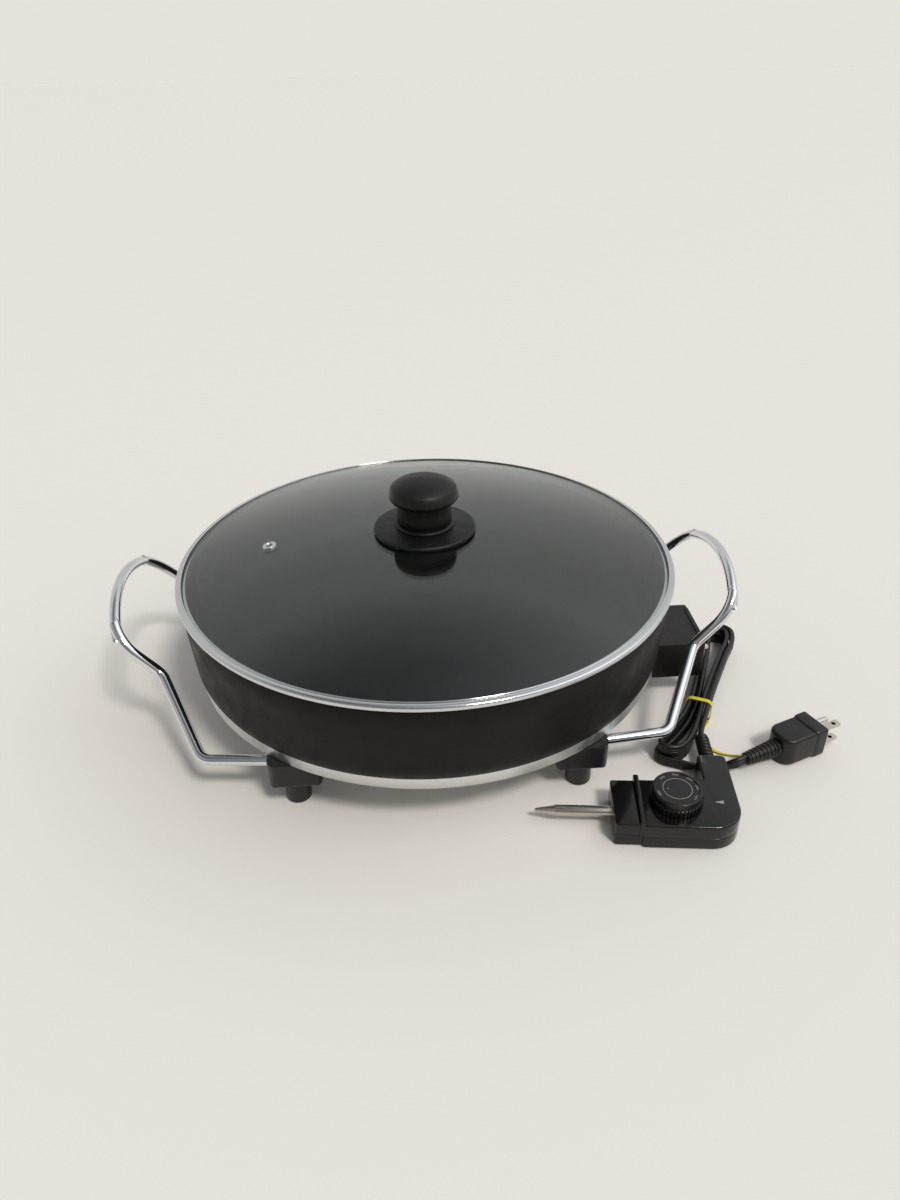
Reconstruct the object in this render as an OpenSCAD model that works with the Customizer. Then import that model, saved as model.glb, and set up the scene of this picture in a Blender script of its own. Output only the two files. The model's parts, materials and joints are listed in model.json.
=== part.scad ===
// Electric skillet: round cast pan on four feet, glass lid, plug-in heat control and its cord.
// The pan's axis is the Z axis, the table is z = 0, and the handles lie along X.

/* [Pan] */
// Outer radius of the pan at its rim
rim_r = 188; // [150:1:240]
// Height of the rim above the table
rim_z = 110; // [95:1:150]
// Lean of the side wall, in degrees
wall_lean = 3.9; // [2:0.1:8]
// Thickness of the side wall
wall_t = 3.5; // [2.5:0.1:4.5]
// Radius of the outer bottom corner
corner_r = 22.6; // [15:0.1:28]
// Slope where the outer bottom corner meets the base band, in degrees
corner_end = 31; // [25:1:40]
// Radius of the inner bottom corner
inner_corner_r = 18; // [12:1:24]
// Height of the cooking floor above the table
floor_z = 49; // [46:0.5:54]
// Thickness of the floor
floor_t = 4.5; // [3.5:0.1:5]
// Height of the underside of the base ring above the table
base_z = 40; // [36:0.5:42]
// Radial width of the base ring
base_ring_w = 9; // [8:0.5:12]

/* [Heating element] */
// Radius of the element's ring
element_r = 120; // [90:1:130]
// Diameter of the element's tube
element_d = 8; // [6:0.2:9]
// Radius of the bends from the ring into the legs
element_bend = 14; // [10:1:20]
// Width of the cast ridge that holds the element
ridge_w = 16; // [12:1:20]

/* [Heat control socket] */
// Place of the socket's middle, measured along Y
socket_y = -20; // [-30:1:0]
// Height of the socket's axis above the table
socket_z = 37.5; // [36:0.5:40]
// Distance between the two terminal pins
pin_gap = 31; // [25.5:0.5:36]
// Diameter of a terminal pin
pin_d = 4.8; // [4:0.1:5]
// How far the terminal pins stand out of their insulators
pin_out = 29; // [20:0.5:32]
// Width of the probe's gap in its bore in the pan, all round
probe_play = 0.15; // [0.1:0.05:0.5]
// Depth of the probe's bore
probe_bore_l = 33; // [25:1:45]

/* [Socket guard] */
// Room between the control's neck and each side wall of the guard
neck_play = 4.7; // [3:0.1:8]
// How far the guard stands out from the pan's base
guard_l = 34; // [30:1:45]
// Height of the guard's roof above the table
guard_top = 50; // [47:1:60]
// Height of the guard's lower edge above the table
guard_low = 19; // [18.8:0.2:26]
// Thickness of the guard's walls
guard_t = 2.8; // [2:0.1:3.5]

/* [Feet] */
// Distance of a foot's screw inside the edge of the pan's base
foot_in = 12.55; // [8:0.05:20]
// Direction of a foot from the middle, in degrees from X
foot_angle = 53.67; // [50:0.01:56]
// Size of a foot's block along X
foot_w = 37; // [30:1:44]
// Size of a foot's block along Y
foot_d = 34; // [28:1:40]
// Diameter of the peg that stands on the table
peg_d = 18; // [14:1:24]
// Height of the peg
peg_h = 20; // [15:1:24]
// Height of the seam between foot and clamp
foot_seam = 28; // [26:0.5:30]

/* [Handles] */
// Diameter of the handle wire
wire_d = 8; // [6:0.2:10]
// Height of the handle's grip above the table
grip_z = 86; // [75:1:100]
// Reach of the grip out past the rim
grip_out = 58; // [52:1:70]

/* [Lid] */
// How far the lid's band stands out past the rim
lid_over = 2; // [1:0.5:4]
// Thickness of the glass
glass_t = 4; // [3:0.5:5]
// Height of the glass dome's top above the rim
dome_h = 28; // [24:1:40]
// Distance from the glass's edge to the band's outer face
band_turn = 3; // [2.5:0.1:4]
// Thickness of the band's steel
band_t = 0.6; // [0.4:0.1:1]
// How far the lid's lip reaches down inside the rim
lip_h = 6; // [4:0.5:10]
// Distance of the vent from the middle of the lid
vent_r = 119; // [60:1:140]
// Outer diameter of the vent's eyelet
vent_d = 10.5; // [9:0.5:14]
// Diameter of the vent's hole
vent_hole_d = 5; // [3:0.2:6]

/* [Knob] */
// Diameter of the disc under the knob
disc_d = 78; // [60:1:90]
// Diameter of the knob's neck
neck_d = 42; // [34:1:46]
// Largest diameter of the knob's cap
cap_d = 52.4; // [48:0.2:60]
// Height of the knob above its disc
knob_h = 38.4; // [34:0.2:50]

/* [Heat control] */
// Turn of the control on the table, in degrees
control_turn = -7; // [-12:1:5]
// Length of the neck that enters the guard
neck_l = 16; // [12:0.5:22]
// How far the neck reaches past each terminal pin's axis
neck_side = 5.5; // [5:0.1:8]
// Height of the neck
neck_h = 19; // [18.5:0.1:19.6]
// Height of the control's housing
control_h = 20; // [19.8:0.1:26]
// Height of the housing's seam, on the axis of probe and pins
control_seam = 9.5; // [9:0.1:10]
// Wall thickness of the housing
control_t = 2.2; // [1.6:0.1:2.6]
// Diameter of the probe
probe_d = 7.5; // [6:0.1:7.6]
// Length of the probe outside the control
probe_l = 52; // [40:1:60]
// Diameter of the dial's skirt
dial_d = 36.5; // [30:0.5:38]
// Height of the dial
dial_h = 10.6; // [8:0.2:14]
// Number of grips round the dial
dial_grips = 40; // [24:2:48]

/* [Cord and plug] */
// Height of the flat cord as it stands on edge
cord_h = 8.4; // [6:0.2:8.6]
// Thickness of the flat cord
cord_t = 4; // [3:0.1:4.2]
// Step from one turn of the hank to the next
hank_step = 4.8; // [4.8:0.1:6]
// Length of the plug's body
plug_l = 38; // [30:1:46]
// Width of the plug's body
plug_w = 25; // [24:1:30]
// Height of the plug's body as it lies
plug_h = 24; // [23:1:28]
// Length of the plug's blades
blade_l = 17; // [14:0.5:20]

/* [Hidden] */
$fn = 96;
// Faces round the large turned pieces
big_fn = 240;
// Running clearance between pieces that move against each other
run_gap = 0.3;
// Clearance between pieces that are fixed to each other
seat_gap = 0.1;
// Overlap of a cut past the face that it opens
eps = 0.5;

// ---------- points and vectors ----------
function arc(cx, cy, r, a0, a1, n = 10) =
  [for (i = [0 : n]) [cx + r * cos(a0 + (a1 - a0) * i / n), cy + r * sin(a0 + (a1 - a0) * i / n)]];
function unit(v) = v / norm(v);
function side_of(d) = abs(d.z) > 0.9 ? unit(cross(d, [1, 0, 0])) : unit(cross([0, 0, 1], d));
function smooth(t) = t * t * (3 - 2 * t);

// Moves its children so that their X, Y and Z run along ex, ey and ez, and their origin lies at p
module at_frame(p, ex, ey, ez) {
  multmatrix([[ex.x, ey.x, ez.x, p.x], [ex.y, ey.y, ez.y, p.y], [ex.z, ey.z, ez.z, p.z], [0, 0, 0, 1]])
    children();
}

// A round rod from p to q
module rod(p, q, d) {
  dir = unit(q - p);
  at_frame(p, side_of(dir), cross(dir, side_of(dir)), dir)
    cylinder(d = d, h = norm(q - p));
}

// A path with each inner corner rounded to its radius in bends, in its number of steps
function rounded_path(path, bends, steps) =
  let (last = len(path) - 1)
    concat([path[0]],
      [for (i = [1 : last - 1])
        let (a = unit(path[i] - path[i - 1]), b = unit(path[i + 1] - path[i]), turn = acos(a * b),
          start = path[i] - a * bends[i] * tan(turn / 2), inward = unit(b - a * (a * b)))
          for (k = [0 : steps[i]])
            start + a * bends[i] * sin(turn * k / steps[i]) + inward * bends[i] * (1 - cos(turn * k / steps[i]))],
      [path[last]]);

// Direction of a path at point i
function along(path, i) = unit(path[min(i + 1, len(path) - 1)] - path[max(i - 1, 0)]);

// A section carried along a path as one closed surface; sides gives its X direction at each point
module swept(path, section, sides) {
  n = len(section);
  rings = [for (i = [0 : len(path) - 1])
    let (up = cross(along(path, i), sides[i])) for (s = section) path[i] + sides[i] * s.x + up * s.y];
  last = (len(path) - 1) * n;
  walls = [for (i = [0 : len(path) - 2]) for (j = [0 : n - 1])
    let (a = i * n + j, b = i * n + (j + 1) % n)
      for (f = [[a, b + n, b], [a, a + n, b + n]]) f];
  caps = [for (j = [1 : n - 2]) for (f = [[0, j, j + 1], [last, last + j + 1, last + j]]) f];
  polyhedron(rings, concat(walls, caps));
}

// A round tube along a path, its section kept from turning about the path
module round_tube(path, d, n) {
  section = [for (k = [0 : n - 1]) [cos(k * 360 / n), sin(k * 360 / n)] * d / 2];
  sides = [for (i = 0, u = side_of(along(path, 0)); i < len(path);
    i = i + 1, u = i < len(path) ? unit(u - along(path, i) * (u * along(path, i))) : u) u];
  swept(path, section, sides);
}

// ---------- rounded plates ----------
// Outline from (x0, y0) to (x1, y1), its corners rounded to r = [front left, front right, rear right, rear left]
module plate_outline(x0, x1, y0, y1, r, inset = 0) {
  polygon([[x0 + r[0], y0 + inset], [x1 - r[1], y0 + inset], [x1 - inset, y0 + r[1]], [x1 - inset, y1 - r[2]],
    [x1 - r[2], y1 - inset], [x0 + r[3], y1 - inset], [x0 + inset, y1 - r[3]], [x0 + inset, y0 + r[0]]]);
  corners = [[x0 + r[0], y0 + r[0]], [x1 - r[1], y0 + r[1]], [x1 - r[2], y1 - r[2]], [x0 + r[3], y1 - r[3]]];
  for (i = [0 : 3])
    translate(corners[i]) circle(r = r[i] - inset);
}

// The same outline as a plate from z0 to z1, with its lower edge rounded to low and its upper edge to up
module soft_plate(x0, x1, y0, y1, z0, z1, r, low, up) {
  corners = [[x0 + r[0], y0 + r[0]], [x1 - r[1], y0 + r[1]], [x1 - r[2], y1 - r[2]], [x0 + r[3], y1 - r[3]]];
  hull()
    for (i = [0 : 3])
      translate([corners[i].x, corners[i].y, z0])
        rotate_extrude($fn = 32) polygon(concat([[0, 0]],
          low > 0 ? arc(r[i] - low, low, low, -90, 0, 3) : [[r[i], 0]],
          up > 0 ? arc(r[i] - up, z1 - z0 - up, up, 0, 90, 3) : [[r[i], z1 - z0]], [[0, z1 - z0]]));
}

// A block whose upright corners are rounded to r and whose lower edges are rounded to low
module edged_block(x0, x1, y0, y1, z0, z1, r, low) {
  module side_profile(a, b) {
    polygon(concat(arc(a + low, z0 + low, low, 180, 270, 8), arc(b - low, z0 + low, low, 270, 360, 8),
      [[b, z1], [a, z1]]));
  }
  intersection() {
    translate([0, 0, z0]) linear_extrude(z1 - z0) plate_outline(x0, x1, y0, y1, [r, r, r, r]);
    translate([0, y1 + eps, 0]) rotate([90, 0, 0]) linear_extrude(y1 - y0 + 2 * eps) side_profile(x0, x1);
    translate([x0 - eps, 0, 0]) rotate([90, 0, 90]) linear_extrude(x1 - x0 + 2 * eps) side_profile(y0, y1);
  }
}

// ---------- pan ----------
// Outer radius of the tapered wall at height z
function wall_r(z) = rim_r - (rim_z - z) * tan(wall_lean);
// The outer corner runs from the wall's lean to the base band's top
corner_top_z = floor_z + corner_r * (sin(corner_end) - sin(wall_lean));
band_r = wall_r(corner_top_z) - corner_r * (cos(wall_lean) - cos(corner_end));
ring_in_r = band_r - base_ring_w;
under_z = floor_z - floor_t;
in_corner_z = floor_z + inner_corner_r;
in_corner_x = wall_r(in_corner_z - inner_corner_r * sin(wall_lean)) - wall_t - inner_corner_r * cos(wall_lean);
edge_c = 0.8;
foot_x = (band_r - foot_in) * cos(foot_angle);
foot_y = (band_r - foot_in) * sin(foot_angle);
probe_bore_d = probe_d + 2 * probe_play;
leg_y = [socket_y + pin_gap / 2, socket_y - pin_gap / 2];
boss_w = 12;
boss_x = band_r - probe_bore_l - 4;
guard_back = band_r + 0.8;
leg_end = guard_back + 5;
insulator_l = 7;
pin_step = 0.3;
pin_root = leg_end - 12;
pin_tip = leg_end + insulator_l + pin_out;

module pan_profile() {
  polygon(concat(
    [[0, under_z], [ring_in_r, under_z], [ring_in_r, base_z], [band_r - edge_c, base_z], [band_r, base_z + edge_c]],
    arc(band_r - corner_r * cos(corner_end), floor_z + corner_r * sin(corner_end), corner_r,
      -corner_end, -wall_lean, 8),
    [[rim_r, rim_z - edge_c], [rim_r - edge_c, rim_z], [rim_r - wall_t + edge_c, rim_z],
      [rim_r - wall_t, rim_z - edge_c]],
    arc(in_corner_x, in_corner_z, inner_corner_r, -wall_lean, -90, 8),
    [[0, floor_z]]));
}

// Centres of the element's two bends, and the angles at which its ring ends
bend_y = [leg_y[0] + element_bend, leg_y[1] - element_bend];
bend_x = [for (y = bend_y) sqrt(pow(element_r + element_bend, 2) - y * y)];
ring_a0 = atan2(bend_y[0], bend_x[0]);
ring_a1 = 360 + atan2(bend_y[1], bend_x[1]);
element_route = [for (p = concat(
  [[leg_end, leg_y[0]]],
  arc(bend_x[0], bend_y[0], element_bend, 270, 180 + ring_a0, 5),
  arc(0, 0, element_r, ring_a0 + 6, ring_a1 - 6, 46),
  arc(bend_x[1], bend_y[1], element_bend, ring_a1 - 180, 90, 5),
  [[leg_end, leg_y[1]]])) [p.x, p.y, socket_z]];

module pan_body() {
  color([0.15, 0.15, 0.15])
    difference() {
      union() {
        rotate_extrude($fn = big_fn) pan_profile();
        rotate([0, 0, ring_a0 + 8]) rotate_extrude(angle = ring_a1 - ring_a0 - 16, $fn = big_fn)
          difference() {
            translate([element_r - ridge_w / 2, socket_z]) square([ridge_w, under_z - socket_z + 1]);
            translate([element_r, socket_z]) circle(d = element_d + 2 * run_gap);
          }
        for (x = [-foot_x, foot_x])
          for (y = [-foot_y, foot_y])
            translate([x, y, base_z]) cylinder(r = 8, h = under_z - base_z + 1);
      }
      for (y = leg_y)
        translate([ring_in_r - 4, y - element_d / 2 - run_gap, base_z - eps])
          cube([base_ring_w + 8, element_d + 2 * run_gap, socket_z + element_d / 2 + run_gap - base_z + eps]);
      translate([ring_in_r - 4, socket_y - boss_w / 2 - seat_gap, base_z - eps])
        cube([base_ring_w + 8, boss_w + 2 * seat_gap, under_z - base_z + eps]);
      for (x = [-foot_x, foot_x])
        for (y = [-foot_y, foot_y])
          translate([x, y, base_z - eps]) cylinder(d = screw_d + 2 * seat_gap, h = screw_top - base_z + eps);
      for (p = guard_screw_at)
        translate([p.x, p.y, base_z - eps]) cylinder(d = guard_screw_d + 2 * seat_gap, h = 4.5 + eps);
    }
}

// Block under the floor, set into the base ring, with the blind bore that takes the probe
module probe_boss() {
  color([0.15, 0.15, 0.15])
    difference() {
      translate([boss_x, socket_y - boss_w / 2, socket_z - boss_w / 2])
        cube([probe_bore_l + 3.5, boss_w, boss_w / 2 + under_z - socket_z]);
      rod([band_r - probe_bore_l, socket_y, socket_z], [band_r + 10, socket_y, socket_z], probe_bore_d);
    }
}

module heating_element() {
  color([0.55, 0.53, 0.5])
    difference() {
      round_tube(element_route, element_d, 14);
      for (y = leg_y)
        rod([pin_root - eps, y, socket_z], [leg_end + eps, y, socket_z], pin_d + 2 * (seat_gap - pin_step));
    }
}

// Each pin has a thinner root, held in the element's leg, and a shoulder on its insulator
module terminal_pins() {
  shoulder = leg_end + insulator_l - pin_root;
  tip = pin_tip - pin_root;
  color([0.8, 0.78, 0.72])
    for (y = leg_y)
      translate([pin_root, y, socket_z]) rotate([0, 90, 0])
        rotate_extrude() polygon([[0, 0], [pin_d / 2 - pin_step, 0], [pin_d / 2 - pin_step, shoulder],
          [pin_d / 2, shoulder], [pin_d / 2, tip - 1.6], [pin_d / 2 - 1.2, tip], [0, tip]]);
}

module terminal_insulators() {
  bore = pin_d / 2 - pin_step + seat_gap;
  head_r = pin_d / 2 + 3;
  color([0.93, 0.91, 0.86])
    for (y = leg_y)
      translate([leg_end, y, socket_z]) rotate([0, 90, 0])
        rotate_extrude() polygon([[bore, 0], [head_r, 0], [head_r, 3], [head_r - 1, 4],
          [head_r - 1, insulator_l - 0.8], [head_r - 1.8, insulator_l], [bore, insulator_l]]);
}

// ---------- socket guard ----------
guard_screw_d = 3.4;
neck_w = pin_gap + 2 * neck_side;
guard_w = neck_w + 2 * (neck_play + guard_t);
guard_y0 = socket_y - guard_w / 2;
guard_y1 = socket_y + guard_w / 2;
guard_x1 = guard_back + guard_l;
tab_t = 4;
tab_w = 9;
tab_y = [guard_y0 + tab_w / 2, guard_y1 - tab_w / 2];
ring_mid_r = (band_r + ring_in_r) / 2;
guard_screw_at = [for (y = tab_y) [sqrt(ring_mid_r * ring_mid_r - y * y), y]];

module socket_guard() {
  wall_x = guard_back + 1;
  color([0.08, 0.08, 0.085])
    difference() {
      union() {
        difference() {
          translate([0, 0, guard_low])
            linear_extrude(guard_top - guard_low) difference() {
              plate_outline(guard_screw_at[0].x - 8, guard_x1, guard_y0, guard_y1, [2, 2, 2, 2]);
              circle(r = guard_back, $fn = big_fn);
            }
          translate([wall_x + guard_t, guard_y0 + guard_t, guard_low - eps])
            cube([guard_l * 2, guard_w - 2 * guard_t, guard_top - guard_low - guard_t + eps]);
          translate([ring_in_r - 10, guard_y0 + guard_t, guard_low - eps])
            cube([wall_x - ring_in_r + 10, guard_w - 2 * guard_t, guard_top - guard_low - guard_t + eps]);
        }
        for (p = guard_screw_at)
          translate([p.x - 6, p.y - tab_w / 2, base_z - tab_t])
            cube([wall_x - p.x + 7, tab_w, tab_t]);
        // Finger rib along the roof's front edge
        translate([guard_x1 - 3, guard_y0 + 6, guard_top - 1]) cube([3, guard_w - 12, 2]);
      }
      for (y = leg_y)
        rod([guard_back - 12, y, socket_z], [wall_x + guard_t + 1, y, socket_z], element_d + 2 * run_gap);
      rod([guard_back - 12, socket_y, socket_z], [wall_x + guard_t + 1, socket_y, socket_z], probe_bore_d + 3);
      for (p = guard_screw_at) {
        translate([p.x, p.y, base_z - tab_t - eps])
          cylinder(d = guard_screw_d + 2 * seat_gap, h = tab_t + 2 * eps);
      }
      // Slanted front corners of the side walls
      translate([guard_x1, guard_y0 - eps, guard_low]) rotate([0, -45, 0])
        translate([-6, 0, -12]) cube([12, guard_w + 2 * eps, 12]);
    }
}

module guard_screws() {
  color([0.75, 0.75, 0.75])
    for (p = guard_screw_at)
      translate([p.x, p.y, base_z - tab_t]) {
        cylinder(d = guard_screw_d, h = tab_t + 4);
        translate([0, 0, -2]) rotate_extrude() polygon(concat([[0, 0]], arc(1.6, 1.4, 1.4, -90, 0, 5),
          [[3, 2], [0, 2]]));
      }
}

// ---------- feet and handles ----------
screw_d = 5;
screw_top = under_z + 1.5;
screw_head_z = 11;
eye_r = 7;
eye_t = 4;
wire_z = foot_seam + wire_d / 2 + seat_gap;
foot_out = foot_x - 0.5;
foot_mid_y = foot_y - 2;
// A handle's front half, from the eye at the foot's screw to the middle of the grip
grip_bow = 5.7;
handle_front = [[foot_x + 4, -foot_y + 0.6, wire_z], [foot_x + 64.5, -foot_y + 10, wire_z],
  [foot_x + 77, -foot_y + 19, grip_z], [rim_r + 45, -foot_y + 84, grip_z]];
handle_path = concat(handle_front, [[rim_r + grip_out + grip_bow, 0, grip_z]],
  [for (i = [3 : -1 : 0]) [handle_front[i].x, -handle_front[i].y, handle_front[i].z]]);
handle_bends = [0, 12, 12, 30, 100, 30, 12, 12, 0];
bend_steps = [0, 6, 6, 3, 9, 3, 6, 6, 0];

// Mirrors the front right corner's piece to corner [x sign, y sign]
module at_corner(c) {
  mirror([c[0] < 0 ? 1 : 0, 0, 0]) mirror([0, c[1] > 0 ? 1 : 0, 0]) children();
}

foot_box = [foot_out - foot_w / 2, foot_out + foot_w / 2, -foot_mid_y - foot_d / 2, -foot_mid_y + foot_d / 2];

module foot() {
  color([0.1, 0.11, 0.11])
    difference() {
      union() {
        edged_block(foot_box[0], foot_box[1], foot_box[2], foot_box[3], peg_h, foot_seam, 8, 3);
        translate([foot_x, -foot_y, 0]) rotate_extrude()
          polygon(concat([[0, 0]], arc(peg_d / 2 - 1.5, 1.5, 1.5, -90, 0, 5),
            [[peg_d / 2, peg_h - 3]], arc(peg_d / 2 + 3, peg_h - 3, 3, 180, 90, 5), [[0, peg_h + 1]]));
      }
      translate([foot_x, -foot_y, -eps]) cylinder(d = 10, h = screw_head_z + 4 + eps);
      translate([foot_x, -foot_y, 0]) cylinder(d = screw_d + 2 * seat_gap, h = foot_seam + eps);
    }
}

module foot_clamp() {
  color([0.1, 0.11, 0.11])
    difference() {
      translate([0, 0, foot_seam]) linear_extrude(base_z - foot_seam)
        plate_outline(foot_box[0], foot_box[1], foot_box[2], foot_box[3], [8, 8, 8, 8]);
      translate([foot_x, -foot_y, foot_seam - eps]) cylinder(d = screw_d + 2 * seat_gap, h = base_z);
      translate([foot_x, -foot_y, foot_seam - eps]) cylinder(r = eye_r + 0.4, h = wire_d / 2 + eye_t / 2 + 0.2 + eps);
      wire_slot();
    }
}

// Channel for the handle's wire, open at the bottom
module wire_slot() {
  from = [handle_path[0].x, handle_path[0].y, wire_z];
  to = [handle_path[1].x, handle_path[1].y, wire_z];
  dir = unit(to - from);
  rod(from - dir * 2, to, wire_d + 2 * seat_gap);
  at_frame(from - dir * 2, side_of(dir), cross(dir, side_of(dir)), dir)
    translate([-wire_d / 2 - seat_gap, -wire_d - eps, 0]) cube([wire_d + 2 * seat_gap, wire_d + eps, norm(to - from)]);
}

module foot_screws() {
  color([0.7, 0.7, 0.7])
    for (c = [[-1, -1], [1, -1], [-1, 1], [1, 1]])
      translate([c[0] * foot_x, c[1] * foot_y, screw_head_z]) {
        difference() {
          cylinder(d = 9, h = 4);
          translate([0, 0, -eps]) cylinder(d = 4.4, h = 2.5 + eps, $fn = 6);
        }
        cylinder(d = screw_d, h = screw_top - screw_head_z - 0.5);
      }
}

module handle() {
  color([0.85, 0.86, 0.88]) {
    round_tube(rounded_path(handle_path, handle_bends, bend_steps), wire_d * 1.01, 16);
    for (y = [-1, 1])
      difference() {
        translate([foot_x, y * foot_y, wire_z - eye_t / 2]) linear_extrude(eye_t) {
          circle(r = eye_r);
          rotate([0, 0, -y * 8.8]) translate([0, -3.4]) square([eye_r + 4, 6.8]);
        }
        translate([foot_x, y * foot_y, wire_z - eye_t]) cylinder(d = screw_d + 0.6, h = eye_t * 2);
      }
  }
}

// ---------- lid ----------
lid_r = rim_r + lid_over;
glass_r = lid_r - band_turn;
glass_top_z = rim_z + dome_h;
// Radius of the dome: it drops by dome_drop from the middle to the band's inner edge, where the glass's
// lower face is edge_lift above the rim
band_w = 8.5;
edge_lift = 2;
dome_drop = dome_h - glass_t - edge_lift;
cover_r = lid_r - band_w;
dome_r = (cover_r * cover_r + dome_drop * dome_drop) / (2 * dome_drop);
dome_cz = glass_top_z - dome_r;
function glass_z(r, drop = 0) = dome_cz + sqrt((dome_r - drop) * (dome_r - drop) - r * r);
lid_low = rim_z + run_gap;
screw_hole_r = 4;
rim_in_r = rim_r - wall_t;

// Points along the glass's upper or lower face, from radius ra to rb
function glass_line(ra, rb, drop, n = 12) =
  [for (i = [0 : n]) let (r = ra + (rb - ra) * i / n) [r, glass_z(r, drop)]];

// Half section of the glass from radius r0 outwards, grown by gap on its other sides
module glass_section(r0, gap) {
  intersection() {
    difference() {
      translate([0, dome_cz]) circle(r = dome_r + gap, $fn = 2400);
      translate([0, dome_cz]) circle(r = dome_r - glass_t - gap, $fn = 2400);
    }
    translate([r0, rim_z - glass_t]) square([glass_r + gap - r0, dome_h + 2 * glass_t]);
  }
}

module lid_glass() {
  color([0.45, 0.47, 0.46, 0.45])
    difference() {
      rotate_extrude($fn = big_fn) glass_section(screw_hole_r, 0);
      on_vent() translate([0, 0, -glass_t - 2]) cylinder(d = vent_hole_d + 2.4, h = glass_t + 4);
    }
}

// Steel strip rolled over the glass edge, with a lip that centres the lid inside the rim
module lid_band() {
  lip_r = rim_in_r - 2;
  top_z = glass_z(glass_r) + band_t;
  color([0.85, 0.87, 0.88])
    rotate_extrude($fn = big_fn) difference() {
      polygon(concat(
        [[lip_r - band_t, lid_low - lip_h], [lip_r, lid_low - lip_h], [lip_r, lid_low], [lid_r - 1, lid_low]],
        arc(lid_r - 1.6, lid_low + 1.6, 1.6, -70, 0, 4),
        arc(lid_r - 2, top_z - 1.6, 2, 0, 90, 6),
        [for (p = glass_line(glass_r - 0.5, cover_r, 0, 3)) [p.x, p.y + band_t]],
        [[cover_r, glass_z(cover_r) - glass_t], [lip_r - band_t, glass_z(lip_r, glass_t)]]));
      glass_section(cover_r - 4, seat_gap / 2);
    }
}

// Puts its children on the glass at the vent, square to the dome, with z = 0 on the outer face
module on_vent() {
  translate([0, 0, dome_cz]) rotate([0, -asin(vent_r / dome_r), 0]) translate([0, 0, dome_r]) children();
}

module vent_eyelet() {
  hole = vent_hole_d / 2;
  color([0.85, 0.86, 0.87])
    on_vent() rotate_extrude() polygon(concat(
      [[hole, -glass_t - 1], [vent_d / 2, -glass_t - 1], [vent_d / 2, -glass_t - 0.2], [hole + 1, -glass_t - 0.2],
        [hole + 1, 0.2], [vent_d / 2, 0.2]],
      arc(vent_d / 2 - 0.6, 0.5, 0.6, 0, 90, 4), arc(hole + 0.6, 0.5, 0.6, 90, 180, 4)));
}

// ---------- knob ----------
disc_low = glass_z(disc_d / 2) + 0.2;
disc_t = 4;
knob_z = disc_low + disc_t;
cap_z = knob_z + knob_h - 12.4;
insert_r = 3;
screw_end = knob_z + knob_h * 0.55;

module knob_disc() {
  color([0.07, 0.07, 0.075])
    rotate_extrude() polygon(concat(
      [[screw_hole_r, disc_low + 1.6], [disc_d / 2 - 4, disc_low + 1.6], [disc_d / 2 - 3, disc_low]],
      arc(disc_d / 2 - 1.2, disc_low + 1.2, 1.2, -90, 0, 4),
      arc(disc_d / 2 - 1.6, disc_low + disc_t - 2, 1.6, 0, 80, 4),
      [[neck_d / 2 + 4, knob_z - 0.2], [neck_d / 2 + 3, knob_z], [screw_hole_r, knob_z]]));
}

module lid_knob() {
  neck_r = neck_d / 2;
  cap_r = cap_d / 2;
  top_z = knob_z + knob_h;
  color([0.06, 0.06, 0.065])
    rotate_extrude() polygon(concat(
      [[0, screw_end], [insert_r, screw_end], [insert_r, knob_z], [neck_r + 1.4, knob_z]],
      arc(neck_r + 0.4, knob_z + 1.6, 1, -60, 60, 4),
      [[neck_r - 0.4, knob_z + 3.2], [neck_r - 0.4, knob_z + 4], [neck_r, knob_z + 4.6],
        [neck_r - 0.6, knob_z + 14]],
      arc(neck_r + 2.2, cap_z - 7.2, 2.6, 180, 95, 5),
      arc(cap_r - 3.2, cap_z - 1.2, 3.2, -75, 20, 6),
      [for (i = [1 : 9]) let (a = 22 + 68 * i / 9)
        [(cap_r - 0.6) * cos(a) / cos(22), cap_z + (top_z - cap_z) * sin(a)]]));
}

module knob_gasket() {
  color([0.75, 0.74, 0.7])
    rotate_extrude() polygon([[insert_r + 0.2, glass_z(8) + 0.05], [16, glass_z(8) + 0.05],
      [16, disc_low + 1.6], [insert_r + 0.2, disc_low + 1.6]]);
}

module knob_screw() {
  head_z = glass_z(0, glass_t);
  color([0.75, 0.76, 0.78]) {
    translate([0, 0, head_z - 1.2]) cylinder(r = 9, h = 1.1);
    translate([0, 0, head_z - 1.3])
      cylinder(r = insert_r - seat_gap, h = screw_end - head_z);
    translate([0, 0, head_z - 4.6]) rotate_extrude()
      polygon(concat([[0, 0]], arc(3.6, 2.4, 2.4, -90, 0, 5), [[6, 3.5], [0, 3.5]]));
  }
}

// ---------- heat control ----------
// The control lies on the table in front of the right front foot
control_at = [foot_x + 14, -foot_y - 45];
rib_l = 3.5;
body_x = neck_l + rib_l;
body_x1 = 83;
body_y = [-neck_w / 2 - 2, neck_w / 2];
arm_x0 = 64;
arm_y1 = 48;
body_corner = 20;
dial_at = [42, 1.5];
dial_z = control_h + 0.4;
shaft_r = 2.9;
shaft_low = control_seam + 1.8;
clip_r = pin_d / 2 + 1.1;
clip_x = [6, 32];
collar_x = 9;
collar_r = 5.6;
housing_screws = [[44, -17], [44, 16.5], [75, -4], [74, 37]];
housing_screw_d = 2.8;
relief_x = (arm_x0 + body_x1 + 1) / 2;
relief_z = 10.5;
relief_l = 29;
relief_neck_r = 4.6;

// Moves what lies loose on the table to the control's place
module beside_pan() {
  translate([control_at.x, control_at.y, 0]) children();
}

// Places a piece of the control on the table
module on_control() {
  beside_pan() rotate([0, 0, control_turn]) children();
}

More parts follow.
